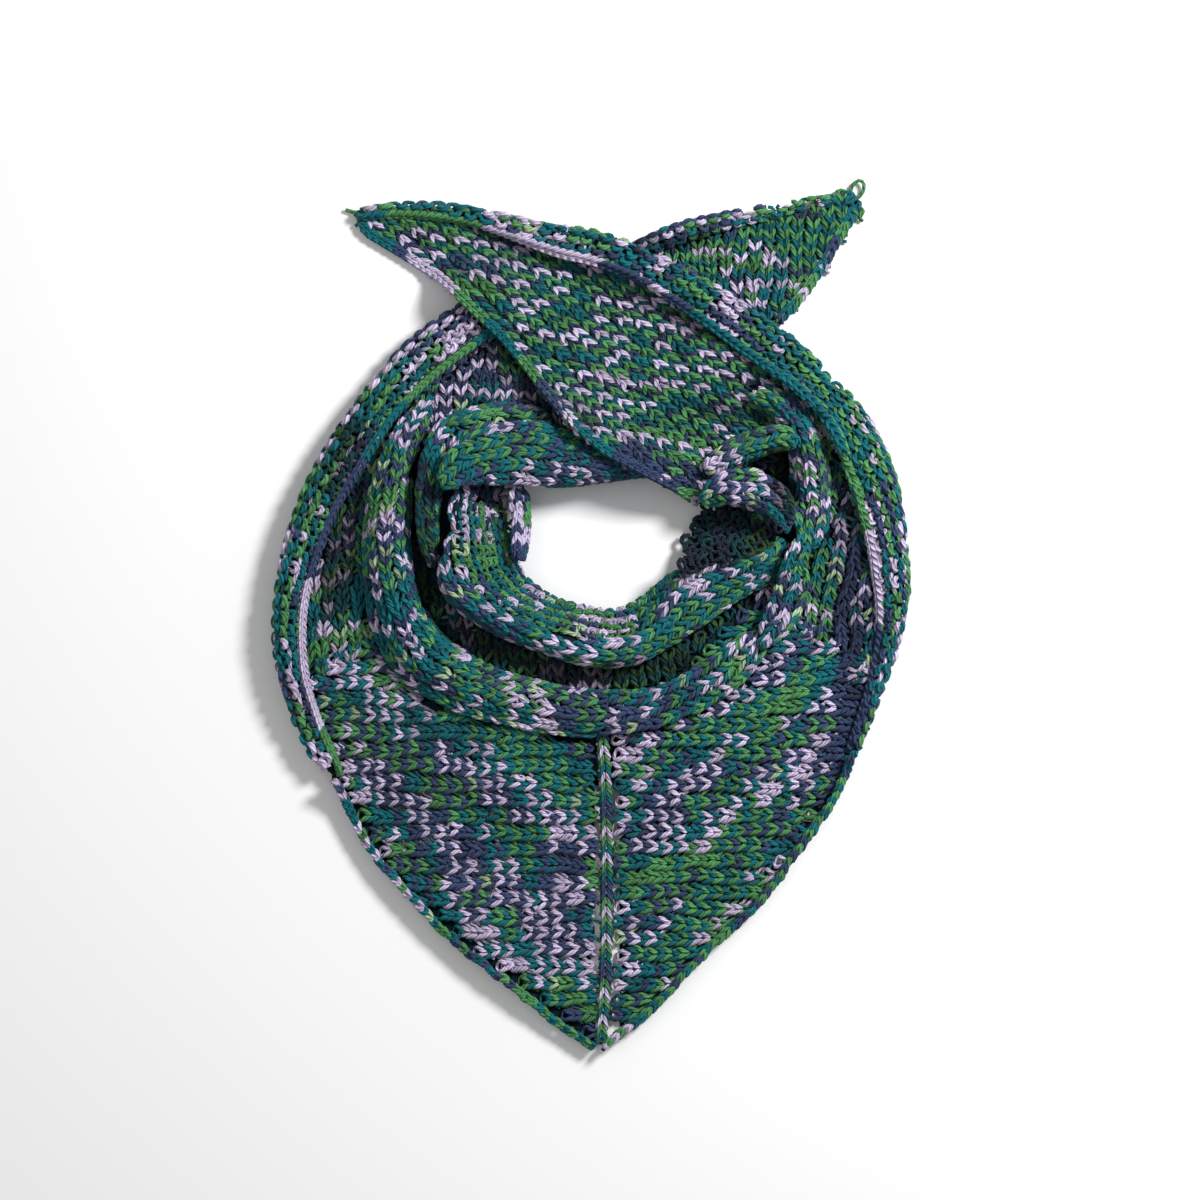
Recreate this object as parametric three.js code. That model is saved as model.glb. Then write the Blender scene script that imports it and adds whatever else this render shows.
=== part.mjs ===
import * as THREE from "three";

// A hand-knitted triangle shawl laid on a table the way it is worn: the point in front,
// the long edge folded into a collar round the neck opening, the two tails crossed behind.
// Millimetres, +Z up from the table, the origin under the middle of the outline.

// Driving sizes
const clothThickness = 3.5;
const seamGap = 0.6;
const edgeCordWidth = 6;
const edgeCordHeight = 5;
const facetReach = 10;
const wideReach = 13;
const drapeBlend = 5;
const reliefCell = 2.5;
const loopRadius = 4.2;
const loopYarnRadius = 1.1;
// How much of its width and height a fold keeps at its last two stations
const endShares = [0.45, 0.85];

// Colours
const colours = {
  teal: 0x0b5f63,
  deepTeal: 0x0a4a52,
  green: 0x3f7f4c,
  navy: 0x3d4a68,
  lavender: 0xb9a7c8,
};

// Tables. Each row is one station along a stretch of cloth: the point on its neck side,
// the point on its outer side, and heights above the table where it is a fold.
const thinColumns = ["innerX", "innerY", "outerX", "outerY"];
const massColumns = ["innerX", "innerY", "outerX", "outerY", "innerZ", "outerZ"];
const foldColumns = ["innerX", "innerY", "outerX", "outerY", "innerZ", "crestAt", "crestZ", "outerZ"];

function named(columns, rows) {
  return rows.map((row) => Object.fromEntries(columns.map((name, k) => [name, row[k]])));
}

// The hidden layers gathered under the ring
const gatheredStations = named(massColumns, [
  [-4, 106, -43, 172, 9, 8],
  [-26, 108, -73, 158, 10, 8],
  [-46, 97, -112, 133, 11, 8],
  [-56, 79, -143, 97, 12, 8],
  [-56, 61, -161, 62, 12, 8],
  [-51, 43, -172, 28, 13, 8],
  [-43, 26, -175, -8, 14, 8],
  [-32, 14, -167, -44, 15, 7],
  [-21, 8, -145, -76, 17, 6],
  [-10, 4, -103, -92, 19, 6],
  [2, 1, -49, -101, 20, 5],
  [14, 1, 5, -104, 20, 5],
  [27, 2, 59, -101, 20, 5],
  [38, 8, 104, -89, 20, 5],
  [49, 17, 140, -65, 19, 5],
  [58, 26, 163, -34, 13, 6],
  [67, 37, 173, 1, 9, 7],
  [73, 49, 175, 34, 8, 8],
  [75, 61, 166, 67, 8, 8],
  [73, 71, 152, 97, 9, 8],
  [65, 82, 125, 124, 9, 8],
  [53, 92, 95, 151, 9, 8],
]);

// The left tail, from its tip at the back right to the left of the ring
const underTailStations = named(thinColumns, [
  [148, 255, 163, 248],
  [140, 250, 159, 239],
  [130, 247, 151, 228],
  [110, 244, 142, 212],
  [89, 240, 130, 194],
  [65, 235, 112, 175],
  [38, 225, 86, 157],
  [11, 216, 62, 140],
  [-19, 208, 35, 125],
  [-46, 194, 8, 112],
  [-73, 176, -16, 103],
  [-95, 156, -41, 98],
  [-113, 133, -67, 92],
  [-122, 109, -88, 82],
]);

// The front panel and the floor of the outer valley, from the left of the ring round to the right
const frontStations = named(thinColumns, [
  [-118, 106, -137, 97],
  [-128, 82, -153, 70],
  [-131, 58, -165, 43],
  [-131, 34, -172, 13],
  [-130, 10, -175, -20],
  [-127, -14, -171, -53],
  [-118, -34, -163, -80],
  [-106, -46, -151, -104],
  [-91, -54, -137, -130],
  [-67, -60, -116, -157],
  [-43, -64, -88, -187],
  [-19, -65, -43, -224],
  [7, -66, 4, -258],
  [29, -58, 49, -221],
  [46, -43, 82, -187],
  [61, -26, 110, -157],
  [74, -11, 133, -127],
  [89, 2, 151, -95],
  [106, 14, 164, -68],
  [122, 26, 173, -44],
  [133, 41, 179, -17],
  [136, 59, 178, 11],
  [136, 77, 172, 38],
  [133, 97, 160, 64],
  [125, 115, 146, 88],
]);

// The right tail, from its tip at the back left over the other tail to the right of the ring
const overTailStations = named(thinColumns, [
  [-141, 237, -142, 245],
  [-133, 229, -124, 247],
  [-113, 217, -100, 247],
  [-93, 204, -73, 244],
  [-73, 185, -43, 236],
  [-54, 167, -13, 230],
  [-38, 148, 17, 222],
  [-25, 130, 44, 210],
  [-10, 112, 70, 196],
  [8, 97, 97, 179],
  [29, 86, 121, 161],
  [49, 76, 139, 143],
  [65, 66, 152, 125],
]);

// The turned-in face seen in the pocket at the right of the neck opening
const neckTurnStations = named(thinColumns, [
  [48, 21, 65, 65],
  [64, 28, 79, 65],
  [82, 35, 92, 62],
  [98, 40, 104, 59],
  [110, 45, 113, 54],
]);

// The edges that roll over, purl side out
const leftBandStations = named(foldColumns, [
  [-40, 178, -55, 200, 0, 0.5, 17, 6],
  [-53, 168, -69, 192, 0, 0.5, 20, 8],
  [-68, 156, -86, 182, 0, 0.5, 22, 8],
  [-87, 142, -108, 166, 0, 0.5, 22, 8],
  [-107, 126, -130, 142, 0, 0.5, 23, 8],
  [-125, 103, -149, 118, 0, 0.5, 23, 8],
  [-140, 79, -164, 94, 0, 0.5, 23, 8],
  [-152, 59, -176, 68, 0, 0.5, 23, 8],
  [-161, 36, -184, 43, 0, 0.5, 23, 8],
  [-169, 12, -189, 16, 0, 0.5, 23, 8],
  [-171, -11, -191, -11, 0, 0.5, 22, 8],
  [-170, -36, -187, -36, 0, 0.5, 20, 8],
  [-164, -58, -179, -60, 0, 0.5, 17, 7],
  [-156, -77, -169, -82, 0, 0.5, 12, 5],
  [-147, -94, -157, -101, 0, 0.5, 8, 3],
]);
const rightBandStations = named(foldColumns, [
  [-138, 238, -143, 245, 0, 0.5, 8, 3],
  [-113, 241, -115, 248, 0, 0.5, 9, 3],
  [-89, 239, -87, 248, 0, 0.5, 10, 3],
  [-67, 235, -62, 243, 0, 0.5, 12, 4],
  [-43, 225, -35, 237, 0, 0.5, 14, 5],
  [-19, 215, -8, 232, 0, 0.5, 16, 6],
  [5, 209, 19, 225, 0, 0.5, 18, 7],
  [31, 199, 46, 213, 0, 0.5, 20, 8],
  [56, 182, 73, 199, 0, 0.5, 21, 8],
  [82, 162, 100, 182, 0, 0.5, 22, 8],
  [106, 143, 125, 164, 0, 0.5, 23, 8],
  [127, 122, 148, 142, 0, 0.5, 24, 8],
  [143, 95, 165, 120, 0, 0.5, 24, 8],
  [154, 68, 178, 95, 0, 0.5, 24, 8],
  [163, 43, 186, 67, 0, 0.5, 24, 8],
  [169, 22, 190, 35, 0, 0.5, 23, 8],
  [172, 2, 190, 10, 0, 0.5, 22, 8],
  [172, -16, 185, -13, 0, 0.5, 20, 8],
  [167, -40, 178, -37, 0, 0.5, 17, 7],
  [161, -60, 169, -60, 0, 0.5, 13, 5],
  [154, -80, 161, -80, 0, 0.5, 8, 3],
]);
const underTailBandStations = named(foldColumns, [
  [13, 210, 8, 218, 0, 0.5, 11, 4],
  [29, 214, 25, 224, 0, 0.5, 13, 4],
  [46, 221, 43, 232, 0, 0.5, 14, 4],
  [65, 227, 62, 238, 0, 0.5, 14, 4],
  [86, 233, 83, 242, 0, 0.5, 13, 4],
  [107, 238, 106, 246, 0, 0.5, 12, 4],
  [128, 244, 127, 250, 0, 0.5, 10, 4],
  [141, 247, 140, 252, 0, 0.5, 9, 4],
  [149, 250, 148, 254, 0, 0.5, 7, 4],
]);

// The folds that lie round the neck
const frontFoldStations = named(foldColumns, [
  [-91, 130, -98, 132, 0, 0.5, 24, 0],
  [-98, 110, -115, 115, 0, 0.5, 29, 0],
  [-104, 89, -126, 94, 0, 0.48, 32, 0],
  [-106, 67, -134, 70, 0, 0.46, 34, 0],
  [-106, 40, -137, 43, 0, 0.45, 34, 0],
  [-102, 16, -136, 16, 0, 0.45, 34, 0],
  [-94, -2, -131, -10, 0, 0.45, 33, 0],
  [-81, -16, -121, -31, 0, 0.45, 32, 0],
  [-65, -25, -103, -46, 0, 0.48, 31, 0],
  [-50, -32, -79, -58, 0, 0.5, 30, 0],
  [-32, -37, -53, -65, 0, 0.5, 29, 0],
  [-9, -42, -23, -71, 0, 0.5, 28, 0],
  [14, -43, 7, -73, 0, 0.5, 27, 0],
  [37, -41, 38, -68, 0, 0.5, 25, 0],
  [59, -31, 67, -56, 0, 0.5, 22, 0],
  [79, -18, 91, -40, 0, 0.5, 18, 0],
  [97, -2, 110, -20, 0, 0.5, 13, 0],
]);
const innerFoldStations = named(foldColumns, [
  [-19, 106, -28, 130, 0, 0.5, 25, 0],
  [-43, 100, -55, 128, 0, 0.55, 29, 0],
  [-67, 92, -79, 124, 0, 0.6, 33, 0],
  [-80, 83, -95, 112, 0, 0.6, 34, 0],
  [-86, 70, -102, 92, 0, 0.6, 34, 0],
  [-88, 55, -104, 71, 0, 0.55, 32, 0],
  [-88, 40, -103, 49, 0, 0.5, 29, 0],
  [-86, 25, -98, 28, 0, 0.5, 25, 0],
]);
const rightFoldStations = named(foldColumns, [
  [86, 130, 107, 142, 0, 0.5, 24, 0],
  [104, 119, 125, 128, 0, 0.5, 29, 0],
  [115, 104, 136, 110, 0, 0.55, 32, 0],
  [119, 88, 141, 90, 0, 0.58, 33, 0],
  [118, 67, 143, 68, 0, 0.58, 32, 0],
  [115, 46, 141, 43, 0, 0.58, 30, 0],
  [110, 25, 133, 17, 0, 0.55, 26, 0],
  [103, 3, 119, -8, 0, 0.5, 20, 0],
  [94, -16, 101, -25, 0, 0.5, 13, 0],
]);
const collarStations = named(foldColumns, [
  [-47, 83, -73, 106, 4, 0.7, 18, 0],
  [-53, 74, -86, 90, 4, 0.76, 24, 0],
  [-52, 62, -93, 71, 4, 0.82, 31, 0],
  [-47, 49, -96, 52, 4, 0.84, 36, 0],
  [-42, 35, -96, 32, 4, 0.85, 38, 0],
  [-35, 23, -90, 14, 4, 0.85, 38, 0],
  [-26, 16, -75, 0, 4, 0.84, 38, 0],
  [-15, 10, -53, -13, 4, 0.8, 38, 0],
  [-2, 7, -27, -23, 4, 0.77, 37, 0],
  [11, 5, -1, -31, 4, 0.74, 36, 0],
  [24, 8, 25, -31, 5, 0.64, 34, 0],
  [33, 14, 46, -23, 8, 0.5, 32, 0],
  [41, 22, 64, -12, 13, 0.36, 31, 0],
  [52, 27, 79, 0, 18, 0.26, 32, 0],
  [68, 32, 92, 10, 21, 0.2, 33, 0],
  [85, 37, 106, 18, 22, 0.17, 34, 0],
  [100, 42, 118, 28, 22, 0.15, 33, 0],
  [112, 48, 125, 38, 20, 0.15, 28, 0],
]);
const collarTopStations = named(foldColumns, [
  [46, 82, 50, 91, 12, 0.4, 18, 0],
  [32, 84, 35, 94, 15, 0.4, 25, 0],
  [16, 82, 19, 98, 17, 0.4, 30, 0],
  [-4, 79, -1, 106, 19, 0.4, 34, 0],
  [-25, 77, -20, 114, 21, 0.42, 37, 0],
  [-46, 76, -41, 118, 24, 0.45, 39, 0],
  [-64, 77, -62, 113, 27, 0.5, 40, 0],
  [-77, 76, -82, 101, 30, 0.55, 39, 0],
  [-85, 70, -93, 85, 30, 0.5, 36, 0],
]);
const collarTwistStations = named(foldColumns, [
  [69, 82, 65, 92, 0, 0.4, 27, 0],
  [79, 85, 75, 101, 0, 0.4, 32, 0],
  [91, 90, 88, 108, 0, 0.4, 34, 0],
  [103, 95, 103, 113, 0, 0.4, 34, 0],
  [113, 98, 116, 113, 0, 0.4, 32, 0],
  [121, 98, 125, 108, 0, 0.4, 28, 0],
]);
const collarTuckStations = named(foldColumns, [
  [65, 62, 64, 79, 16, 0.3, 26, 0],
  [75, 65, 75, 85, 18, 0.25, 32, 0],
  [88, 66, 88, 89, 20, 0.2, 35, 0],
  [100, 61, 103, 88, 20, 0.2, 36, 0],
  [110, 54, 116, 78, 20, 0.2, 35, 0],
  [115, 45, 124, 62, 18, 0.3, 31, 0],
]);
const innerFlapStations = named(foldColumns, [
  [-30, 77, -55, 79, 0, 0.5, 14, 0],
  [-33, 67, -50, 68, 0, 0.5, 14, 0],
  [-37, 53, -47, 55, 0, 0.5, 12, 0],
  [-38, 41, -47, 41, 0, 0.5, 10, 0],
  [-40, 32, -46, 34, 0, 0.5, 8, 0],
]);

// The bound-off cords along the two front edges, as points on their middle lines
const cordColumns = ["x", "y"];
const leftCordPoints = named(cordColumns, [
  [-154, -97],
  [-142, -121],
  [-127, -145],
  [-107, -169],
  [-82, -193],
  [-53, -217],
  [-22, -241],
  [4, -259],
]);
const rightCordPoints = named(cordColumns, [
  [7, -258],
  [29, -241],
  [53, -217],
  [77, -193],
  [102, -169],
  [121, -145],
  [137, -121],
  [151, -97],
  [158, -80],
]);

// Soft creases across the front panel, each a straight ridge that fades at its ends
const creaseColumns = ["fromX", "fromY", "toX", "toY", "height", "width"];
const creases = named(creaseColumns, [
  [65, -50, 143, 10, 5, 10],
  [29, -86, 125, -44, 3, 9],
  [-19, -110, -103, -86, 2.5, 10],
  [-73, -128, -127, -92, 3, 8],
  [89, -110, 137, -74, 2.5, 9],
  [-139, -110, -19, -236, 3, 16],
]);

// The relief is the height of the highest cloth laid so far, over the whole table
const relief = {
  left: -215,
  low: -285,
  columns: 172,
  rows: 228,
};
relief.heights = new Float32Array(relief.columns * relief.rows);

function markTriangle(a, b, c) {
  const area = (b[0] - a[0]) * (c[1] - a[1]) - (c[0] - a[0]) * (b[1] - a[1]);
  if (Math.abs(area) < 1e-9) return;
  const xs = [a[0], b[0], c[0]];
  const ys = [a[1], b[1], c[1]];
  const i0 = Math.floor((Math.min(...xs) - relief.left) / reliefCell) - 1;
  const i1 = Math.ceil((Math.max(...xs) - relief.left) / reliefCell) + 1;
  const j0 = Math.floor((Math.min(...ys) - relief.low) / reliefCell) - 1;
  const j1 = Math.ceil((Math.max(...ys) - relief.low) / reliefCell) + 1;
  for (let j = j0; j <= j1; j += 1) {
    for (let i = i0; i <= i1; i += 1) {
      const x = relief.left + i * reliefCell;
      const y = relief.low + j * reliefCell;
      const wb = ((x - a[0]) * (c[1] - a[1]) - (c[0] - a[0]) * (y - a[1])) / area;
      const wc = ((b[0] - a[0]) * (y - a[1]) - (x - a[0]) * (b[1] - a[1])) / area;
      const wa = 1 - wb - wc;
      if (wa < -0.02 || wb < -0.02 || wc < -0.02) continue;
      const k = j * relief.columns + i;
      const z = wa * a[2] + wb * b[2] + wc * c[2];
      if (z > relief.heights[k]) relief.heights[k] = z;
    }
  }
}

// The height at which the next layer comes to rest, raised to clear what lies within reach
// and then blended so that it has no steps
function restingRelief(reach, blend, gap = seamGap) {
  const { columns, rows, heights } = relief;
  const raised = spread(heights, reach + blend, (values) => Math.max(...values));
  const eased = spread(raised, blend, (values) => values.reduce((sum, v) => sum + v, 0) / values.length);
  return (x, y) => {
    const u = (x - relief.left) / reliefCell;
    const v = (y - relief.low) / reliefCell;
    const i = Math.floor(u);
    const j = Math.floor(v);
    const k = j * columns + i;
    const low = eased[k] * (1 - u + i) + eased[k + 1] * (u - i);
    const high = eased[k + columns] * (1 - u + i) + eased[k + columns + 1] * (u - i);
    const z = low * (1 - v + j) + high * (v - j);
    return z > 0.02 ? Math.max(0, z + gap) : 0;
  };

  function spread(source, radius, pick) {
    const result = new Float32Array(source.length);
    const span = Math.ceil(radius / reliefCell);
    const offsets = [];
    for (let dj = -span; dj <= span; dj += 1) {
      for (let di = -span; di <= span; di += 1) {
        if (Math.hypot(di, dj) * reliefCell <= radius + 0.01) offsets.push(dj * columns + di);
      }
    }
    for (let j = span; j < rows - span; j += 1) {
      for (let i = span; i < columns - span; i += 1) {
        const k = j * columns + i;
        result[k] = pick(offsets.map((offset) => source[k + offset]));
      }
    }
    return result;
  }
}

// A smooth run of stations through the table's rows
function alongStations(stations, count, corner = -1) {
  const last = stations.length - 1;
  const names = Object.keys(stations[0]);
  const samples = [];
  for (let k = 0; k <= count; k += 1) {
    const place = (k / count) * last;
    const i = Math.min(Math.floor(place), last - 1);
    const t = place - i;
    const sample = {};
    for (const name of names) {
      const b = stations[i][name];
      const c = stations[i + 1][name];
      const a = i > 0 && i !== corner ? stations[i - 1][name] : 2 * b - c;
      const d = i + 2 <= last && i + 1 !== corner ? stations[i + 2][name] : 2 * c - b;
      const bend = t * (c - a + t * (2 * a - 5 * b + 4 * c - d + t * (3 * (b - c) + d - a)));
      sample[name] = b + 0.5 * bend;
    }
    samples.push(sample);
  }
  return samples;
}

function mix(from, to, share) {
  return from + (to - from) * share;
}

// A closed solid between a grid of upper points and the matching grid of lower points
function closedCloth(upper, lower) {
  const positions = [];
  const rows = upper.length;
  const across = upper[0].length;
  function quad(a, b, c, d) {
    positions.push(...a, ...b, ...c, ...a, ...c, ...d);
  }
  for (let i = 0; i + 1 < rows; i += 1) {
    for (let j = 0; j + 1 < across; j += 1) {
      quad(upper[i][j], upper[i + 1][j], upper[i + 1][j + 1], upper[i][j + 1]);
      quad(lower[i][j], lower[i][j + 1], lower[i + 1][j + 1], lower[i + 1][j]);
    }
    quad(lower[i][0], lower[i + 1][0], upper[i + 1][0], upper[i][0]);
    quad(upper[i][across - 1], upper[i + 1][across - 1], lower[i + 1][across - 1], lower[i][across - 1]);
  }
  for (let j = 0; j + 1 < across; j += 1) {
    quad(lower[0][j + 1], lower[0][j], upper[0][j], upper[0][j + 1]);
    quad(lower[rows - 1][j], lower[rows - 1][j + 1], upper[rows - 1][j + 1], upper[rows - 1][j]);
  }
  let volume = 0;
  for (let k = 0; k < positions.length; k += 9) {
    const [ax, ay, az, bx, by, bz, cx, cy, cz] = positions.slice(k, k + 9);
    volume += ax * (by * cz - bz * cy) + ay * (bz * cx - bx * cz) + az * (bx * cy - by * cx);
  }
  if (volume < 0) {
    for (let k = 0; k < positions.length; k += 9) {
      for (let m = 0; m < 3; m += 1) {
        [positions[k + 3 + m], positions[k + 6 + m]] = [positions[k + 6 + m], positions[k + 3 + m]];
      }
    }
  }
  for (let k = 0; k < positions.length; k += 9) {
    const corners = [0, 3, 6].map((m) => positions.slice(k + m, k + m + 3));
    markTriangle(...corners);
  }
  const geometry = new THREE.BufferGeometry();
  geometry.setAttribute("position", new THREE.Float32BufferAttribute(positions, 3));
  geometry.computeVertexNormals();
  return geometry;
}

const shawl = new THREE.Group();
shawl.name = "triangle_shawl";

function addPiece(name, geometry, colour) {
  const material = new THREE.MeshStandardMaterial({ color: colour, roughness: 0.9 });
  const mesh = new THREE.Mesh(geometry, material);
  mesh.name = name;
  shawl.add(mesh);
}

// Places across a fold, closer together at its two rounded sides
function foldShares(across) {
  return Array.from({ length: across + 1 }, (_, j) => 0.5 - 0.5 * Math.cos((Math.PI * j) / across));
}

function evenShares(across, power = 1) {
  return Array.from({ length: across + 1 }, (_, j) => (j / across) ** power);
}

// The upper line of a fold: up from the inner side to the crest, round it and down again
function foldHeight(station, share, innerBow) {
  const { innerZ, crestAt, crestZ, outerZ } = station;
  if (share < crestAt) {
    const away = 1 - share / crestAt;
    return mix(innerZ, crestZ, (1 - away ** innerBow) ** (1 / innerBow));
  }
  const away = (share - crestAt) / (1 - crestAt);
  return mix(outerZ, crestZ, Math.sqrt(Math.max(0, 1 - away * away)));
}

// A fold or rolled edge: round above, drawn in a little below, resting on what is under it
function foldPiece({ stations, count, across, innerBow = 2, tuckIn = 0.08, reach = facetReach, gap, taper = true }) {
  const rest = restingRelief(reach, drapeBlend, gap);
  const upper = [];
  const lower = [];
  alongStations(stations, count).forEach((station, k) => {
    const { innerX, innerY, outerX, outerY } = station;
    const top = [];
    const base = [];
    const fromEnd = Math.min(k, count - k);
    const narrow = taper && fromEnd < endShares.length ? endShares[fromEnd] : 1;
    for (const evenShare of foldShares(across)) {
      const share = mix(station.crestAt, evenShare, narrow);
      const x = mix(innerX, outerX, share);
      const y = mix(innerY, outerY, share);
      const drawn = mix(tuckIn, 1 - tuckIn, share);
      const lowX = mix(innerX, outerX, drawn);
      const lowY = mix(innerY, outerY, drawn);
      const z = foldHeight(station, evenShare, innerBow) * mix(0.6, 1, narrow);
      const resting = rest(x, y);
      const lowZ = rest(lowX, lowY);
      top.push([x, y, Math.max(z, resting + clothThickness * 0.6, lowZ + clothThickness)]);
      base.push([lowX, lowY, lowZ]);
    }
    upper.push(top);
    lower.push(base);
  });
  return closedCloth(upper, lower);
}

// A single thickness of cloth that follows what it lies on
function thinPiece({ stations, count, shares, lift = () => 0, corner, reach = wideReach, blend = drapeBlend }) {
  const rest = restingRelief(reach, blend);
  const upper = [];
  const lower = [];
  for (const station of alongStations(stations, count, corner)) {
    const line = shares.map((share) => [
      mix(station.innerX, station.outerX, share),
      mix(station.innerY, station.outerY, share),
    ]);
    lower.push(line.map(([x, y]) => [x, y, rest(x, y) + lift(x, y)]));
    upper.push(line.map(([x, y]) => [x, y, rest(x, y) + lift(x, y) + clothThickness]));
  }
  return closedCloth(upper, lower);
}

// The gathered layers: flat below, rounded at both sides, with the inner side rising slowly
function gatheredPiece(stations, count, across) {
  const upper = [];
  const lower = [];
  for (const station of alongStations(stations, count)) {
    const top = [];
    const base = [];
    for (const share of evenShares(across)) {
      const x = mix(station.innerX, station.outerX, share);
      const y = mix(station.innerY, station.outerY, share);
      const inward = Math.sqrt(Math.min(1, share / 0.22 + 0.04));
      const outward = Math.sqrt(Math.min(1, (1 - share) / 0.12 + 0.08));
      top.push([x, y, Math.max(2, mix(station.innerZ, station.outerZ, share) * inward * outward)]);
      base.push([x, y, 0]);
    }
    upper.push(top);
    lower.push(base);
  }
  return closedCloth(upper, lower);
}

// A cord laid along an edge: half round above, flat below
function cordPiece(points, count, lift) {
  const rest = restingRelief(4, 3);
  const line = alongStations(points, count);
  const upper = [];
  const lower = [];
  line.forEach((point, k) => {
    const before = line[Math.max(k - 1, 0)];
    const after = line[Math.min(k + 1, count)];
    const length = Math.hypot(after.x - before.x, after.y - before.y);
    const acrossX = -(after.y - before.y) / length;
    const acrossY = (after.x - before.x) / length;
    const top = [];
    const base = [];
    for (const share of foldShares(4)) {
      const offset = (share - 0.5) * edgeCordWidth;
      const x = point.x + acrossX * offset;
      const y = point.y + acrossY * offset;
      const z = rest(x, y) + lift(x, y);
      const round = Math.sqrt(Math.max(0, 1 - (2 * share - 1) ** 2));
      top.push([x, y, z + edgeCordHeight * (0.35 + 0.65 * round)]);
      base.push([x, y, z]);
    }
    upper.push(top);
    lower.push(base);
  });
  return closedCloth(upper, lower);
}

function creaseLift(x, y) {
  let lift = 0;
  for (const crease of creases) {
    const alongX = crease.toX - crease.fromX;
    const alongY = crease.toY - crease.fromY;
    const length = Math.hypot(alongX, alongY);
    const along = ((x - crease.fromX) * alongX + (y - crease.fromY) * alongY) / (length * length);
    const aside = ((x - crease.fromX) * alongY - (y - crease.fromY) * alongX) / length;
    const fade = Math.exp(-(((along - 0.5) / 0.42) ** 4));
    lift += crease.height * fade * Math.exp(-((aside / crease.width) ** 2));
  }
  return lift;
}

addPiece("gathered_layers", gatheredPiece(gatheredStations, 44, 8), colours.deepTeal);
addPiece("under_tail", thinPiece({
  stations: underTailStations,
  count: 24,
  shares: evenShares(7),
}), colours.green);
addPiece("front_panel", thinPiece({
  stations: frontStations,
  count: 64,
  shares: evenShares(10, 1.25),
  lift: creaseLift,
  corner: 12,
  blend: 9,
}), colours.teal);
addPiece("left_rolled_edge", foldPiece({
  stations: leftBandStations,
  count: 32,
  across: 7,
  gap: -0.1,
}), colours.green);
addPiece("under_tail_rolled_edge", foldPiece({
  stations: underTailBandStations,
  count: 12,
  across: 5,
}), colours.lavender);
addPiece("front_fold", foldPiece({
  stations: frontFoldStations,
  count: 38,
  across: 7,
}), colours.navy);
addPiece("inner_fold", foldPiece({
  stations: innerFoldStations,
  count: 14,
  across: 6,
}), colours.navy);
addPiece("collar", foldPiece({
  stations: collarStations,
  count: 42,
  across: 9,
  innerBow: 1.25,
}), colours.teal);
addPiece("inner_flap", foldPiece({
  stations: innerFlapStations,
  count: 6,
  across: 4,
}), colours.lavender);
addPiece("collar_top", foldPiece({
  stations: collarTopStations,
  count: 18,
  across: 7,
}), colours.navy);
addPiece("neck_turning", thinPiece({
  stations: neckTurnStations,
  count: 7,
  shares: evenShares(5),
  reach: 6,
  blend: 3,
}), colours.deepTeal);
addPiece("over_tail", thinPiece({
  stations: overTailStations,
  count: 30,
  shares: evenShares(10),
}), colours.green);
addPiece("right_fold", foldPiece({
  stations: rightFoldStations,
  count: 18,
  across: 7,
}), colours.green);
addPiece("right_rolled_edge", foldPiece({
  stations: rightBandStations,
  count: 52,
  across: 6,
}), colours.teal);
addPiece("collar_twist", foldPiece({
  stations: collarTwistStations,
  count: 9,
  across: 6,
  gap: -0.4,
}), colours.lavender);
addPiece("collar_tuck", foldPiece({
  stations: collarTuckStations,
  count: 10,
  across: 7,
  gap: -0.1,
}), colours.teal);
addPiece("left_front_edge", cordPiece(leftCordPoints, 24, creaseLift), colours.navy);
addPiece("right_front_edge", cordPiece(rightCordPoints, 24, creaseLift), colours.lavender);

// The little loop of yarn left at the tip of the under tail
function loopPiece() {
  const loop = new THREE.TorusGeometry(loopRadius, loopYarnRadius, 6, 14);
  loop.rotateX(THREE.MathUtils.degToRad(8));
  loop.translate(159.3, 255.9, 1.8);
  return loop;
}
addPiece("tip_loop", loopPiece(), colours.green);

export default shawl;
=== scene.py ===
import bisect
import math
import random

import bpy
import numpy as np
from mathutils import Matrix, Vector
from mathutils.bvhtree import BVHTree


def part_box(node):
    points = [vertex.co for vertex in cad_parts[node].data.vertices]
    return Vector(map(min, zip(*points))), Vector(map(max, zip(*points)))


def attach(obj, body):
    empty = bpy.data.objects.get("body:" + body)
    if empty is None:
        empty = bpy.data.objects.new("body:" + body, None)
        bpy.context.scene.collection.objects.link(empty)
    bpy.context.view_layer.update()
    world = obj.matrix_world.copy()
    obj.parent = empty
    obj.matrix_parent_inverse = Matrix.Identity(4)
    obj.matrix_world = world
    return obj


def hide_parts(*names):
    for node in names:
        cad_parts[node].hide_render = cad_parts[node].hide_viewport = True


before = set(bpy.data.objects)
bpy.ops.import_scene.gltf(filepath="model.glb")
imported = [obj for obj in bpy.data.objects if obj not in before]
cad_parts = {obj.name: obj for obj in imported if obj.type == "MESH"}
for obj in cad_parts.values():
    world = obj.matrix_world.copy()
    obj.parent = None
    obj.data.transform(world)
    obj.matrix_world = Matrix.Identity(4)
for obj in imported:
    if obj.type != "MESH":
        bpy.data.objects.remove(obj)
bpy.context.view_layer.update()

mm = 0.001  # tables and settings are in millimetres

print("shawl: frame loaded")

# camera, straight above as in the photograph
view = {"height": 2500, "framed": 720, "centre": (5.4, 9.6), "sensor": 36, "clipEnd": 20000}
camera = bpy.data.objects.new("camera", bpy.data.cameras.new("camera"))
camera.location = (view["centre"][0] * mm, view["centre"][1] * mm, view["height"] * mm)
camera.data.sensor_width = view["sensor"]
camera.data.lens = view["sensor"] * view["height"] / view["framed"]
camera.data.clip_end = view["clipEnd"] * mm
bpy.context.scene.view_settings.view_transform = "Standard"
bpy.context.scene.collection.objects.link(camera)
bpy.context.scene.camera = camera

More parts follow.
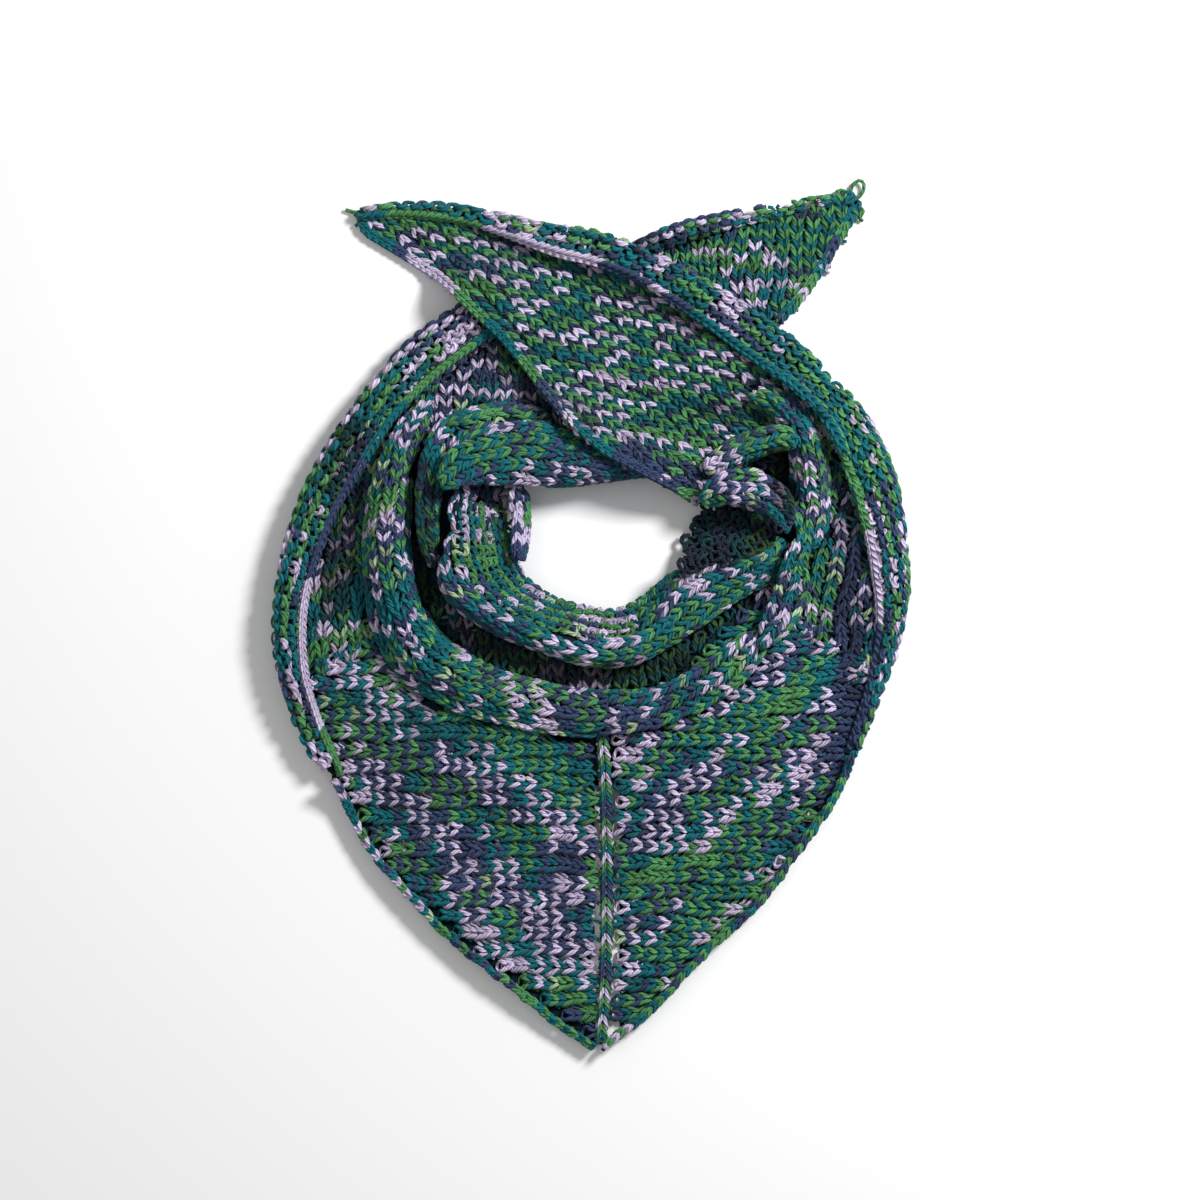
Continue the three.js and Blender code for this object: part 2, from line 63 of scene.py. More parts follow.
# a soft studio on white paper, in metres and watts
studio = {
    "sky": 0.33,
    "lamps": [
        # name, place, size, power
        ("keyLamp", (0.95, 0.75, 1.15), 0.42, 31),
        ("fillLamp", (-1.0, 0.3, 1.6), 1.8, 5),
    ],
    "paper": {"Base Color": (0.95, 0.95, 0.955, 1), "Roughness": 0.9, "Specular IOR Level": 0.1},
    "paperHalf": 4,
}


# what goes into a node: for each input a value, another node's output, or a node for its first output
def feed(tree, node, inputs):
    for name, value in inputs.items():
        if isinstance(value, bpy.types.Node):
            value = value.outputs[0]
        if isinstance(value, bpy.types.NodeSocket):
            tree.links.new(value, node.inputs[name])
        else:
            node.inputs[name].default_value = value


def addNode(tree, kind, inputs=None, **settings):
    node = tree.nodes.new(kind)
    for name, value in settings.items():
        setattr(node, name, value)
    feed(tree, node, inputs or {})
    return node


def newMaterial(name):
    material = bpy.data.materials.new(name)
    material.use_nodes = True
    return material, material.node_tree, material.node_tree.nodes["Principled BSDF"]


def makeLamps():
    for name, place, size, power in studio["lamps"]:
        lamp = bpy.data.objects.new(name, bpy.data.lights.new(name, "AREA"))
        lamp.data.shape = "DISK"
        lamp.data.size = size
        lamp.data.energy = power
        lamp.location = place
        lamp.rotation_mode = "QUATERNION"
        lamp.rotation_quaternion = (-Vector(place)).to_track_quat("-Z", "Y")
        bpy.context.scene.collection.objects.link(lamp)
    world = bpy.data.worlds.new("softWhite")
    world.use_nodes = True
    sky = {"Color": (1, 1, 1, 1), "Strength": studio["sky"]}
    feed(world.node_tree, world.node_tree.nodes["Background"], sky)
    bpy.context.scene.world = world


def makeFloor():
    half = studio["paperHalf"]
    mesh = bpy.data.meshes.new("floor")
    corners = [(-half, -half, 0), (half, -half, 0), (half, half, 0), (-half, half, 0)]
    mesh.from_pydata(corners, [], [(0, 1, 2, 3)])
    floor = bpy.data.objects.new("floor", mesh)
    paper, tree, shader = newMaterial("paperWhite")
    feed(tree, shader, studio["paper"])
    mesh.materials.append(paper)
    bpy.context.scene.collection.objects.link(floor)


makeLamps()
makeFloor()
print("shawl: camera, light and floor")

# the yarn: three plies of cotton; and the cloth seen between its loops, a dark teal painted near black as the
# shade between them
yarn = {
    "radius": 1.32,
    "sides": 6,
    "segment": 2.15,
    "plies": 3,
    "plyPitch": 4.6,
    "fuzz": 0.8,
    "fuzzScale": 900,
    "shade": (0.62, 1.12),
    "bump": {"Strength": 0.8, "Distance": 0.0006},
    "finish": {"Roughness": 0.82, "Specular IOR Level": 0.2, "Sheen Weight": 0.06, "Sheen Roughness": 0.5},
}
paintedShadeBacking = {
    "spots": 160,
    "stops": [(0.35, (0.002, 0.008, 0.012, 1)), (0.7, (0.006, 0.022, 0.028, 1))],
    "bump": {"Strength": 0.7, "Distance": 0.001},
    "finish": {"Roughness": 0.95, "Specular IOR Level": 0.1},
}


# the usual curve of a screen colour, 0 to 255, to its linear value
def fromScreen(*colour):
    shares = [c / 255 for c in colour]
    return tuple(s / 12.92 if s < 0.04 else ((s + 0.055) / 1.055) ** 2.4 for s in shares)


dyes = {
    "teal": fromScreen(0, 100, 110),
    "green": fromScreen(76, 138, 84),
    "navy": fromScreen(50, 66, 102),
    "lavender": fromScreen(200, 186, 216),
    "pale": fromScreen(158, 182, 146),
}


# the plies wind round the yarn: how high they stand, and a painted shade that darkens the colour where they
# dip and lightens it where they stand
def makePlyGroup():
    tree = bpy.data.node_groups.new("yarnPlies", "ShaderNodeTree")
    inputs = {"Plies": yarn["plies"], "Pitch": yarn["plyPitch"] * mm, "Fuzz Scale": yarn["fuzzScale"]}
    for name, value in inputs.items():
        tree.interface.new_socket(name, in_out="INPUT", socket_type="NodeSocketFloat").default_value = value
    for name in ("Height", "Shade"):
        tree.interface.new_socket(name, in_out="OUTPUT", socket_type="NodeSocketFloat")

    def reckon(operation, *values):
        return addNode(tree, "ShaderNodeMath", dict(enumerate(values)), operation=operation)

    given = addNode(tree, "NodeGroupInput").outputs
    around = addNode(tree, "ShaderNodeAttribute", attribute_name="yarnAround").outputs["Vector"]
    along = addNode(tree, "ShaderNodeAttribute", attribute_name="yarnAlong").outputs["Fac"]
    side = addNode(tree, "ShaderNodeSeparateXYZ", {0: around}).outputs
    turns = reckon("MULTIPLY", reckon("ARCTAN2", side["Y"], side["X"]), given["Plies"])
    winds = reckon("MULTIPLY", reckon("DIVIDE", along, given["Pitch"]), 2 * math.pi)
    wave = reckon("COSINE", reckon("ADD", turns, winds))
    place = addNode(tree, "ShaderNodeTexCoord").outputs["Object"]
    fuzz = addNode(tree, "ShaderNodeTexNoise", {"Vector": place, "Scale": given["Fuzz Scale"], "Detail": 3})
    height = reckon("MULTIPLY_ADD", fuzz, yarn["fuzz"], wave)
    # painted shade and highlight, from the ply height and a random fuzz
    low, high = yarn["shade"]
    shade = addNode(tree, "ShaderNodeMapRange", {
        "Value": height, "From Min": -1.0, "From Max": 1.4, "To Min": low, "To Max": high})
    addNode(tree, "NodeGroupOutput", {"Height": height, "Shade": shade})
    return tree


def makeYarnMaterial(plyGroup):
    cotton, tree, shader = newMaterial("pliedCotton")
    dye = addNode(tree, "ShaderNodeAttribute", attribute_name="yarnColour")
    plies = addNode(tree, "ShaderNodeGroup", node_tree=plyGroup).outputs
    # the dye times the painted ply shade
    tint = addNode(tree, "ShaderNodeMix", data_type="RGBA", blend_type="MULTIPLY")
    feed(tree, tint, {0: 1, 6: dye, 7: plies["Shade"]})
    bump = addNode(tree, "ShaderNodeBump", {"Height": plies["Height"], **yarn["bump"]})
    feed(tree, shader, {"Base Color": tint.outputs[2], "Normal": bump, **yarn["finish"]})
    return cotton


# painted shade: the backing is near-black teal, so the gaps between the loops look shaded
def makePaintedShadeBacking():
    cloth, tree, shader = newMaterial("shadedLoops")
    place = addNode(tree, "ShaderNodeTexCoord").outputs["Object"]
    spots = addNode(tree, "ShaderNodeTexNoise", {"Vector": place, "Scale": paintedShadeBacking["spots"]})
    ramp = addNode(tree, "ShaderNodeValToRGB", {0: spots})
    for stop, (position, colour) in zip(ramp.color_ramp.elements, paintedShadeBacking["stops"]):
        stop.position = position
        stop.color = colour
    bump = addNode(tree, "ShaderNodeBump", {"Height": spots, **paintedShadeBacking["bump"]})
    feed(tree, shader, {"Base Color": ramp, "Normal": bump, **paintedShadeBacking["finish"]})
    return cloth


cottonYarn = makeYarnMaterial(makePlyGroup())
paintedShadeCloth = makePaintedShadeBacking()


# sweeps a round yarn along guide edges, and keeps the place on it for the plies
def makeSweepTree():
    tree = bpy.data.node_groups.new("sweepYarn", "GeometryNodeTree")
    for name, kind in (("Geometry", "Geometry"), ("Yarn Radius", "Float"), ("Sides", "Int"),
                       ("Segment Length", "Float"), ("Yarn Material", "Material")):
        tree.interface.new_socket(name, in_out="INPUT", socket_type="NodeSocket" + kind)
    tree.interface.new_socket("Geometry", in_out="OUTPUT", socket_type="NodeSocketGeometry")

    def capture(kind, name, geometry, value):
        node = addNode(tree, "GeometryNodeCaptureAttribute")
        node.capture_items.new(kind, name)
        feed(tree, node, {"Geometry": geometry, name: value})
        return node.outputs

    given = addNode(tree, "NodeGroupInput").outputs
    curve = addNode(tree, "GeometryNodeMeshToCurve", {"Mesh": given["Geometry"]})
    curve = addNode(tree, "GeometryNodeCurveSplineType", {"Curve": curve}, spline_type="CATMULL_ROM")
    spacing = {"Curve": curve, "Length": given["Segment Length"]}
    curve = addNode(tree, "GeometryNodeResampleCurve", spacing, mode="LENGTH")
    run = capture("FLOAT", "along", curve, addNode(tree, "GeometryNodeSplineParameter").outputs["Length"])
    circle = {"Resolution": given["Sides"], "Radius": given["Yarn Radius"]}
    section = addNode(tree, "GeometryNodeCurvePrimitiveCircle", circle)
    ring = capture("VECTOR", "around", section, addNode(tree, "GeometryNodeInputPosition"))
    plump = addNode(tree, "GeometryNodeInputNamedAttribute", {"Name": "yarnPlump"})
    mesh = addNode(tree, "GeometryNodeCurveToMesh", {
        "Curve": run["Geometry"], "Profile Curve": ring["Geometry"], "Scale": plump, "Fill Caps": True})
    for kind, name, value in (
        ("FLOAT", "yarnAlong", run["along"]),
        ("FLOAT_VECTOR", "yarnAround", ring["around"]),
    ):
        kept = {"Geometry": mesh, "Name": name, "Value": value}
        mesh = addNode(tree, "GeometryNodeStoreNamedAttribute", kept, data_type=kind)
    mesh = addNode(tree, "GeometryNodeSetShadeSmooth", {"Geometry": mesh})
    mesh = addNode(tree, "GeometryNodeRealizeInstances", {"Geometry": mesh})
    mesh = addNode(tree, "GeometryNodeSetMaterial", {"Geometry": mesh, "Material": given["Yarn Material"]})
    addNode(tree, "NodeGroupOutput", {"Geometry": mesh})
    return tree


sweepTree = makeSweepTree()


def setInputs(modifier, values):
    sockets = {s.name: s.identifier for s in modifier.node_group.interface.items_tree
               if s.item_type == "SOCKET" and s.in_out == "INPUT"}
    for name, value in values.items():
        modifier[sockets[name]] = value


def addPiece(name, mesh):
    piece = bpy.data.objects.new(name, mesh)
    bpy.context.scene.collection.objects.link(piece)
    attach(piece, "root")
    return piece


# a strand is one length of yarn: its points, with a colour and a plumpness for each
def sweepYarn(name, strands, radius=yarn["radius"]):
    guide = bpy.data.meshes.new(name + "_guide")
    points, colours, plump = (np.concatenate(values) for values in zip(*strands))
    joined = np.ones(len(points), bool)
    joined[np.cumsum([len(strand[0]) for strand in strands]) - 1] = False
    edges = np.flatnonzero(joined)[:, None] + (0, 1)
    guide.from_pydata(points.tolist(), edges.tolist(), [])
    dye = guide.attributes.new("yarnColour", "FLOAT_COLOR", "POINT")
    opaque = np.concatenate([colours, np.ones((len(colours), 1))], 1)
    dye.data.foreach_set("color", opaque.astype(np.float32).ravel())
    thick = guide.attributes.new("yarnPlump", "FLOAT", "POINT")
    thick.data.foreach_set("value", np.asarray(plump, np.float32))
    carrier = bpy.data.objects.new(name + "_guide", guide)
    bpy.context.scene.collection.objects.link(carrier)
    modifier = carrier.modifiers.new("sweep", "NODES")
    modifier.node_group = sweepTree
    setInputs(modifier, {
        "Yarn Radius": radius * mm,
        "Sides": yarn["sides"],
        "Segment Length": yarn["segment"] * mm,
        "Yarn Material": cottonYarn,
    })
    depsgraph = bpy.context.evaluated_depsgraph_get()
    mesh = bpy.data.meshes.new_from_object(carrier.evaluated_get(depsgraph))
    piece = addPiece(name, mesh)
    bpy.data.objects.remove(carrier)
    return piece


# how the solids are felt for their surface: steps and reaches in millimetres, turns in degrees
probe = {
    "panelStep": 2.5,
    "panelEase": 4,
    "panelMargin": 8,
    "foldStep": 2.0,
    "foldEase": 3,
    "foldAxis": 0.4,
    "turns": (-25, 205, 31),
    "pastFoot": 12,
    "above": 300,
    "below": -100,
    "reach": 100,
}
down, up = Vector((0, 0, -1)), Vector((0, 0, 1))


def treeOf(*names):
    points, faces = [], []
    for name in names:
        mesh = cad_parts[name].data
        first = len(points)
        points += [v.co.copy() for v in mesh.vertices]
        faces += [tuple(first + i for i in p.vertices) for p in mesh.polygons]
    return BVHTree.FromPolygons(points, faces)


def runOf(points):
    return np.concatenate([[0], np.cumsum(np.linalg.norm(np.diff(points, axis=0), axis=1))])


def unit(ways):
    return ways / np.maximum(np.linalg.norm(ways, axis=-1, keepdims=True), 1e-9)


def softened(grid, times):
    for _ in range(times):
        for axis in (0, 1):
            grid = np.swapaxes(grid, 0, axis)
            eased = grid.copy()
            eased[1:-1] = (grid[:-2] + 2 * grid[1:-1] + grid[2:]) / 4
            grid = np.swapaxes(eased, 0, axis)
    return grid


# a surface is an even grid of points over one solid, with the way out of the cloth at each
def surfaceFrom(points, sound, start, step):
    out = np.cross(np.gradient(points, axis=0), np.gradient(points, axis=1))
    size = np.linalg.norm(out, axis=2)
    middle = out.shape[1] // 2
    for k in [*range(middle + 1, out.shape[1]), *range(middle - 1, -1, -1)]:
        flat = size[:, k] < 1e-10
        out[flat, k] = out[flat, k - 1 if k > middle else k + 1]
    out /= np.maximum(np.linalg.norm(out, axis=2, keepdims=True), 1e-12)
    if out[..., 2][sound].mean() < 0:
        out = -out
    return {"points": points, "out": out, "sound": sound, "start": np.array(start), "step": step}


def panelSurface(node, ease=probe["panelEase"]):
    tree = treeOf(node)
    low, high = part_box(node)
    margin, step = probe["panelMargin"] * mm, probe["panelStep"] * mm
    acrossPlan = np.arange(low.x - margin, high.x + margin, step)
    upPlan = np.arange(low.y - margin, high.y + margin, step)
    heights = np.full((len(acrossPlan), len(upPlan)), np.nan)
    for i, x in enumerate(acrossPlan):
        for k, y in enumerate(upPlan):
            hit = tree.ray_cast(Vector((x, y, probe["above"] * mm)), down)[0]
            if hit is not None:
                heights[i, k] = hit.z
    sound = ~np.isnan(heights)
    while np.isnan(heights).any():  # the heights at the border carry on outwards
        padded = np.pad(heights, 1, constant_values=np.nan)
        rows, columns = heights.shape
        around = np.stack([padded[a:a + rows, b:b + columns] for a in range(3) for b in range(3)])
        known = ~np.isnan(around)
        mean = np.where(known, around, 0).sum(0) / np.maximum(known.sum(0), 1)
        heights = np.where(np.isnan(heights) & known.any(0), mean, heights)
    heights = softened(heights, ease)
    grid = np.stack([*np.meshgrid(acrossPlan, upPlan, indexing="ij"), heights], axis=2)
    return surfaceFrom(grid, sound, (acrossPlan[0], upPlan[0]), step)


# a smooth curve through the rows of a table, even along its middle
def curveThrough(rows, step, pieces=24):
    table = np.array(rows, float) * mm
    padded = np.concatenate([[2 * table[0] - table[1]], table, [2 * table[-1] - table[-2]]])
    fine = []
    for k in range(len(table) - 1):
        a, b, c, d = padded[k:k + 4]
        for t in np.linspace(0, 1, pieces, endpoint=False):
            bend = (2 * a - 5 * b + 4 * c - d) * t * t
            fine.append(0.5 * (2 * b + (c - a) * t + bend + (3 * b - a - 3 * c + d) * t ** 3))
    fine = np.array(fine + [table[-1]])
    run = runOf((fine[:, :2] + fine[:, -2:]) / 2)
    at = np.arange(0, run[-1], step)
    return np.stack([np.interp(at, run, fine[:, c]) for c in range(fine.shape[1])], axis=1)


# round a fold, from its inner foot over the top to its outer foot, at every step along it
def foldSurface(node, rows):
    tree = treeOf(node)
    step = probe["foldStep"] * mm
    rings = []
    for row in curveThrough(rows, step):
        inner, outer = row[:2], row[2:]
        middle = (inner + outer) / 2
        top = tree.ray_cast(Vector((*middle, probe["above"] * mm)), down)[0]
        base = tree.ray_cast(Vector((*middle, probe["below"] * mm)), up)[0]
        if top is None or base is None:
            continue
        axis = np.array([*middle, base.z + probe["foldAxis"] * (top.z - base.z)])
        side = np.array([*(outer - inner), 0]) / np.linalg.norm(outer - inner)
        ring = []
        for degrees in np.linspace(*probe["turns"]):
            turn = math.radians(degrees)
            way = side * math.cos(turn) + np.array([0, 0, math.sin(turn)])
            hit = tree.ray_cast(Vector(axis), Vector(way), probe["reach"] * mm)[0]
            if hit is not None:
                ring.append((degrees, *hit))
        ring = np.array(ring)
        ends = [2 * ring[0] - ring[1], 2 * ring[-1] - ring[-2]]  # carries on a little past both feet
        for k, (end, foot) in enumerate(zip(ends, (ring[0], ring[-1]))):
            way = unit((end - foot)[1:])
            ends[k] = np.concatenate([end[:1], foot[1:] + way * probe["pastFoot"] * mm])
        ring = np.concatenate([[ends[0]], ring, [ends[1]]])
        run = runOf(ring[:, 1:])
        crest = np.interp(90, ring[:, 0], run)
        rings.append((run - crest, ring[:, 1:]))
    reach = max(max(-run[0], run[-1]) for run, _ in rings)
    half = int(reach / step) + 1
    across = np.arange(-half, half + 1) * probe["foldStep"] * mm
    grid = [[[np.interp(t, run, ring[:, c]) for c in range(3)] for t in across] for run, ring in rings]
    sound = np.array([(across >= run[1]) & (across <= run[-2]) for run, _ in rings])
    surface = surfaceFrom(softened(np.array(grid), probe["foldEase"]), sound, (0, across[0]), step)
    feet = np.array([(run[1], run[-2]) for run, _ in rings])
    surface["feet"] = np.array([feet[max(k - 3, 0):k + 4].mean(0) for k in range(len(feet))])
    return surface


# loops at the border of a fold draw in to its foot
def drawnIn(surface, spots, inset):
    feet = surface["feet"]
    count = np.arange(len(feet))
    along = np.clip(spots[:, 0], inset, (len(feet) - 1) * surface["step"] - inset)
    low = np.interp(along / surface["step"], count, feet[:, 0]) + inset
    high = np.interp(along / surface["step"], count, feet[:, 1]) - inset
    return np.stack([along, np.clip(spots[:, 1], low, high)], 1)


# place, way out and soundness at spots that lie between the points of the grid
def onSurface(surface, spots):
    points, out, sound = surface["points"], surface["out"], surface["sound"]
    place = (spots - surface["start"]) / surface["step"]
    limit = np.array(points.shape[:2]) - 1.001
    inside = ((place >= 0) & (place <= limit)).all(-1)
    place = np.clip(place, 0, limit)
    cell = place.astype(int)
    part = place - cell
    i, k = cell[..., 0], cell[..., 1]
    a, b = part[..., :1], part[..., 1:]

    def blend(values):
        near = values[i, k] * (1 - a) * (1 - b) + values[i + 1, k] * a * (1 - b)
        return near + values[i, k + 1] * (1 - a) * b + values[i + 1, k + 1] * a * b

    return blend(points), blend(out), inside & (sound[i, k] | sound[i + 1, k + 1])


# one loop of yarn, in shares of a stitch: across it, up it, out of the cloth, and how plump
halfLoop = [
    (-0.50, -0.04, -0.50, 0.80),
    (-0.20, 0.04, -0.34, 0.85),
    (-0.10, 0.36, 0.26, 1.00),
    (-0.19, 0.86, 0.50, 1.12),
    (-0.33, 1.36, 0.28, 1.06),
    (-0.33, 1.74, -0.32, 0.85),
]

# the same loop from the purl side, where its head and its foot stand out as short bumps
halfBump = [
    (-0.50, 0.08, 0.16, 0.85),
    (-0.24, 0.10, -0.12, 0.85),
    (-0.15, 0.50, -0.55, 0.85),
    (-0.20, 1.00, -0.62, 0.90),
    (-0.30, 1.40, -0.20, 1.00),
    (-0.24, 1.70, 0.42, 1.16),
]


def wholeLoop(half, head):
    return np.array(half + [head] + [(-across, *rest) for across, *rest in half[:0:-1]])


loopShapes = {
    "plain": wholeLoop(halfLoop, (0, 1.94, -0.54, 0.80)),
    "purl": wholeLoop(halfBump, (0, 1.84, 0.62, 1.26)),
}

teal, green, navy, lavender = "teal", "green", "navy", "lavender"

# where the dyes pool: from x, y to x, y, half the width, the dye of the light courses and of the dark
pools = [
    (-151, -89, -124, -140, 3, green, lavender), (-124, -140, -55, -221, 3, teal, navy),
    (-55, -221, 1, -258, 3, teal, green), (8, -258, 119, -140, 3, green, lavender),
    (119, -140, 157, -82, 3, teal, navy), (-135, -89, -73, -152, 7.8, lavender, navy),
    (-115, -80, -82, -119, 2.4, green, green), (-90, -85, -45, -119, 7.8, lavender, navy),
    (-92, -119, -65, -149, 6, navy, navy), (-57, -123, -43, -140, 5.4, green, teal),
    (-67, -88, -34, -110, 7.8, lavender, teal), (-44, -83, 1, -124, 4.2, green, teal),
    (-42, -140, -11, -143, 9, navy, navy), (-21, -130, -3, -143, 2.4, lavender, lavender),
    (-56, -133, -32, -151, 5.4, green, teal), (49, -75, 18, -112, 2.4, lavender, lavender),
    (31, -82, 23, -91, 2.4, green, teal), (43, -94, 25, -111, 2.4, green, teal),
    (65, -92, 31, -136, 7.2, lavender, navy), (89, -111, 67, -137, 2.4, lavender, lavender),
    (65, -144, 29, -158, 8.4, green, green), (101, -152, 29, -206, 7.8, green, teal),
    (59, -194, 23, -230, 4.8, green, teal), (28, -140, 53, -145, 3.6, navy, navy),
    (-91, -140, -73, -158, 4.8, lavender, navy), (-82, -173, -67, -185, 4.8, lavender, navy),
    (-55, -161, -28, -191, 10.2, lavender, navy), (-31, -176, -7, -200, 8.4, lavender, navy),
    (-82, -143, -43, -140, 4.8, navy, teal), (-73, -194, -43, -215, 4.8, lavender, lavender),
    (-91, -173, -70, -194, 3.6, lavender, teal), (-52, -206, -13, -239, 3, green, teal),
    (-55, -197, -28, -215, 4.2, lavender, teal), (-19, -218, -1, -242, 4.8, green, green),
    (-19, -203, -1, -215, 3.6, lavender, navy), (17, -173, 29, -188, 2.4, lavender, lavender),
    (8, -221, 11, -236, 3, navy, teal), (125, -44, 101, -68, 7.2, green, green),
    (92, -86, 86, -80, 4.8, green, teal), (92, -110, 77, -140, 6, green, teal),
    (125, -74, 104, -104, 3, lavender, lavender), (119, -89, 89, -122, 2.4, lavender, lavender),
    (161, -50, 143, -86, 8.4, navy, navy), (137, -86, 119, -110, 4.8, lavender, navy),
    (83, -146, 65, -182, 6, green, teal), (125, -128, 113, -140, 6, teal, teal),
    (-157, -77, -148, -104, 3.6, lavender, lavender), (-19, -152, -31, -161, 4.8, navy, teal),
    (56, 221, 119, 212, 2.2, lavender, lavender), (77, 211, 103, 209, 2.4, green, green),
    (86, 205, 116, 204, 3, teal, navy), (86, 200, 109, 199, 2.4, lavender, lavender),
    (92, 194, 104, 192, 2.4, green, green), (116, 239, 139, 243, 2.4, navy, navy),
    (53, 205, 65, 202, 3.6, navy, teal), (65, 205, 155, 241, 18, green, teal),
    (32, 226, 65, 239, 5.4, lavender, navy), (65, 239, 119, 250, 4.2, green, navy),
    (-136, 242, -115, 234, 4.2, green, teal), (-124, 230, -91, 226, 2.4, lavender, navy),
    (-115, 223, -91, 208, 3.6, lavender, teal), (-91, 218, -55, 212, 4.2, navy, teal),
    (-82, 202, -61, 190, 4.8, green, green), (13, 107, 32, 102, 3, lavender, lavender),
    (23, 98, 59, 82, 6, navy, navy), (35, 112, 77, 106, 2.4, green, navy),
    (-64, 240, 3, 211, 1.8, lavender, lavender), (20, 223, 70, 197, 1.8, lavender, lavender),
    (9, 222, 44, 196, 4.8, teal, teal), (65, 196, 104, 163, 3, lavender, navy),
    (101, 178, 125, 160, 4.8, teal, teal), (125, 154, 166, 88, 8.4, green, teal),
    (163, 82, 188, -14, 2.4, lavender, teal), (173, 70, 188, 34, 3.6, green, navy),
    (-115, 244, -73, 236, 3.6, green, teal), (-55, 196, -106, 163, 6.6, lavender, navy),
    (-115, 157, -145, 118, 3.6, lavender, teal), (-148, 112, -175, 34, 7.2, green, teal),
    (-181, -5, -179, -50, 3, lavender, teal), (-82, 88, -91, 46, 5.4, green, teal),
    (-93, 34, -88, 16, 3.6, lavender, navy), (-82, 10, -43, -17, 4.8, teal, navy),
    (-34, -14, 5, -23, 4.2, lavender, teal), (5, -23, 29, -20, 3.6, green, teal),
    (78, 38, 46, 7, 5.4, lavender, lavender), (29, -8, 35, 10, 4.8, green, teal),
    (-73, 34, -43, 10, 4.8, green, teal), (-55, 4, -19, -5, 3.6, green, teal),
    (-82, 88, -55, 103, 7.2, green, teal), (-19, 100, 29, 88, 7.8, navy, teal),
    (128, 88, 133, 67, 5.4, lavender, green), (128, 61, 125, 25, 5.4, green, teal),
    (119, 130, 125, 106, 6, navy, teal), (80, 76, 110, 74, 4.8, lavender, navy),
    (92, 58, 113, 61, 5.4, teal, teal), (-46, 76, -40, 58, 4.8, lavender, navy),
    (-150, 2, -119, -50, 3, green, green), (-156, 7, -154, -29, 3, lavender, lavender),
    (155, 34, 149, -50, 6, navy, navy), (-73, 160, -37, 130, 8.4, lavender, navy),
]

# painted shade in the deep places between the folds: from, to, half the width, the share of the light that is
# left
paintedShadeHollows = [
    (-143, 106, -154, 10, 10.2, 0.33),
    (-100, 88, -97, 10, 5.4, 0.35),
    (-85, -8, -13, -36, 5.4, 0.45),
    (-13, -36, 65, -26, 5.4, 0.5),
    (110, 97, 116, 67, 7.2, 0.2),
    (65, 124, 104, 118, 5.4, 0.5),
    (154, 58, 157, -44, 7.2, 0.6),
    (-73, 235, 65, 169, 3.6, 0.6),
    (29, 223, 65, 226, 5.4, 0.5),
    (-67, 166, -19, 118, 8.4, 0.55),
    (-42, 142, -2, 110, 7, 0.5),
    (-157, -50, -73, -74, 7.2, 0.75),
]

# openings where the table shows: x, y, half width, half height
eyelets = [
    (95, 242, 2.4, 2.4), (104.5, 242.5, 2.4, 2.6), (109, 246, 2.2, 2.0), (119, 246, 2.4, 2.0),
    (130, 247, 2.6, 1.8), (129, 241.5, 2.0, 1.8), (76, 239, 2.0, 2.0), (128, -120, 2.2, 2.6),
    (117, -134, 2.4, 1.6), (109, -146, 2.4, 1.6), (98, -158, 2.6, 1.6), (140, -104, 1.8, 2.6),
    (-113, -138, 2.4, 2.0), (-131, -112, 2.0, 2.0), (-63, -120, 3.0, 2.0), (-70, -151, 3.4, 2.2),
    (-96, -106, 3.0, 2.0),
]


def inEyelet(x, y, spare=0):
    return any(abs(x - a) < w + spare and abs(y - b) < h + spare for a, b, w, h in eyelets)


def inPool(line, x, y):
    fromX, fromY, toX, toY, half = line
    runX, runY = toX - fromX, toY - fromY
    share = ((x - fromX) * runX + (y - fromY) * runY) / max(runX * runX + runY * runY, 1e-6)
    share = min(max(share, 0), 1)
    return math.hypot(x - fromX - share * runX, y - fromY - share * runY) < half


# how the dyes come along the yarn, counted in stitches; blurs in stitches and millimetres
dyeing = {
    "light": (lavender, green),
    "dark": (teal, navy),
    "halfChart": 300,
    "halfCourses": 200,
    "doubles": {"first": (0, 16), "length": (3, 8), "every": (13, 19)},
    "poolBlur": 1.6,
    "poolShare": 0.88,
    "runBlur": 0.3,
    "stripe": 9,
    "paleWithin": 0.8,
    "paleShare": 0.28,
    "tealShare": {lavender: 0.2, navy: 0.22},
    "shade": (0.74, 1.26),
    "chainShade": (0.86, 1.14),
}

# what a knit or a chain of loops takes where its own settings say nothing
plainKnit = {
    "origin": (0, 0),  # where the count of stitches starts
    "face": "plain",
    "fat": 1, "tight": 1, "uneven": 0.07,
    # shade darkens a knit's dyes: painted shade on the valleys, lining, turning and gathered layers that lie
    # in shadow; a slightly darker tone on the purl inner faces and the two tails
    "shade": 1, "dark": 1, "bands": (1, 1),  # dark and bands are for every other course
    "run": (2.6, 6.4), "drift": (-1.3, 0.9), "doubled": 0.3, "striped": False, "swap": {},
    "clear": 5,  # how near another solid may come over a loop
    "trim": False, "within": None,
}
plainChain = {"fat": 1, "rise": 0.6}


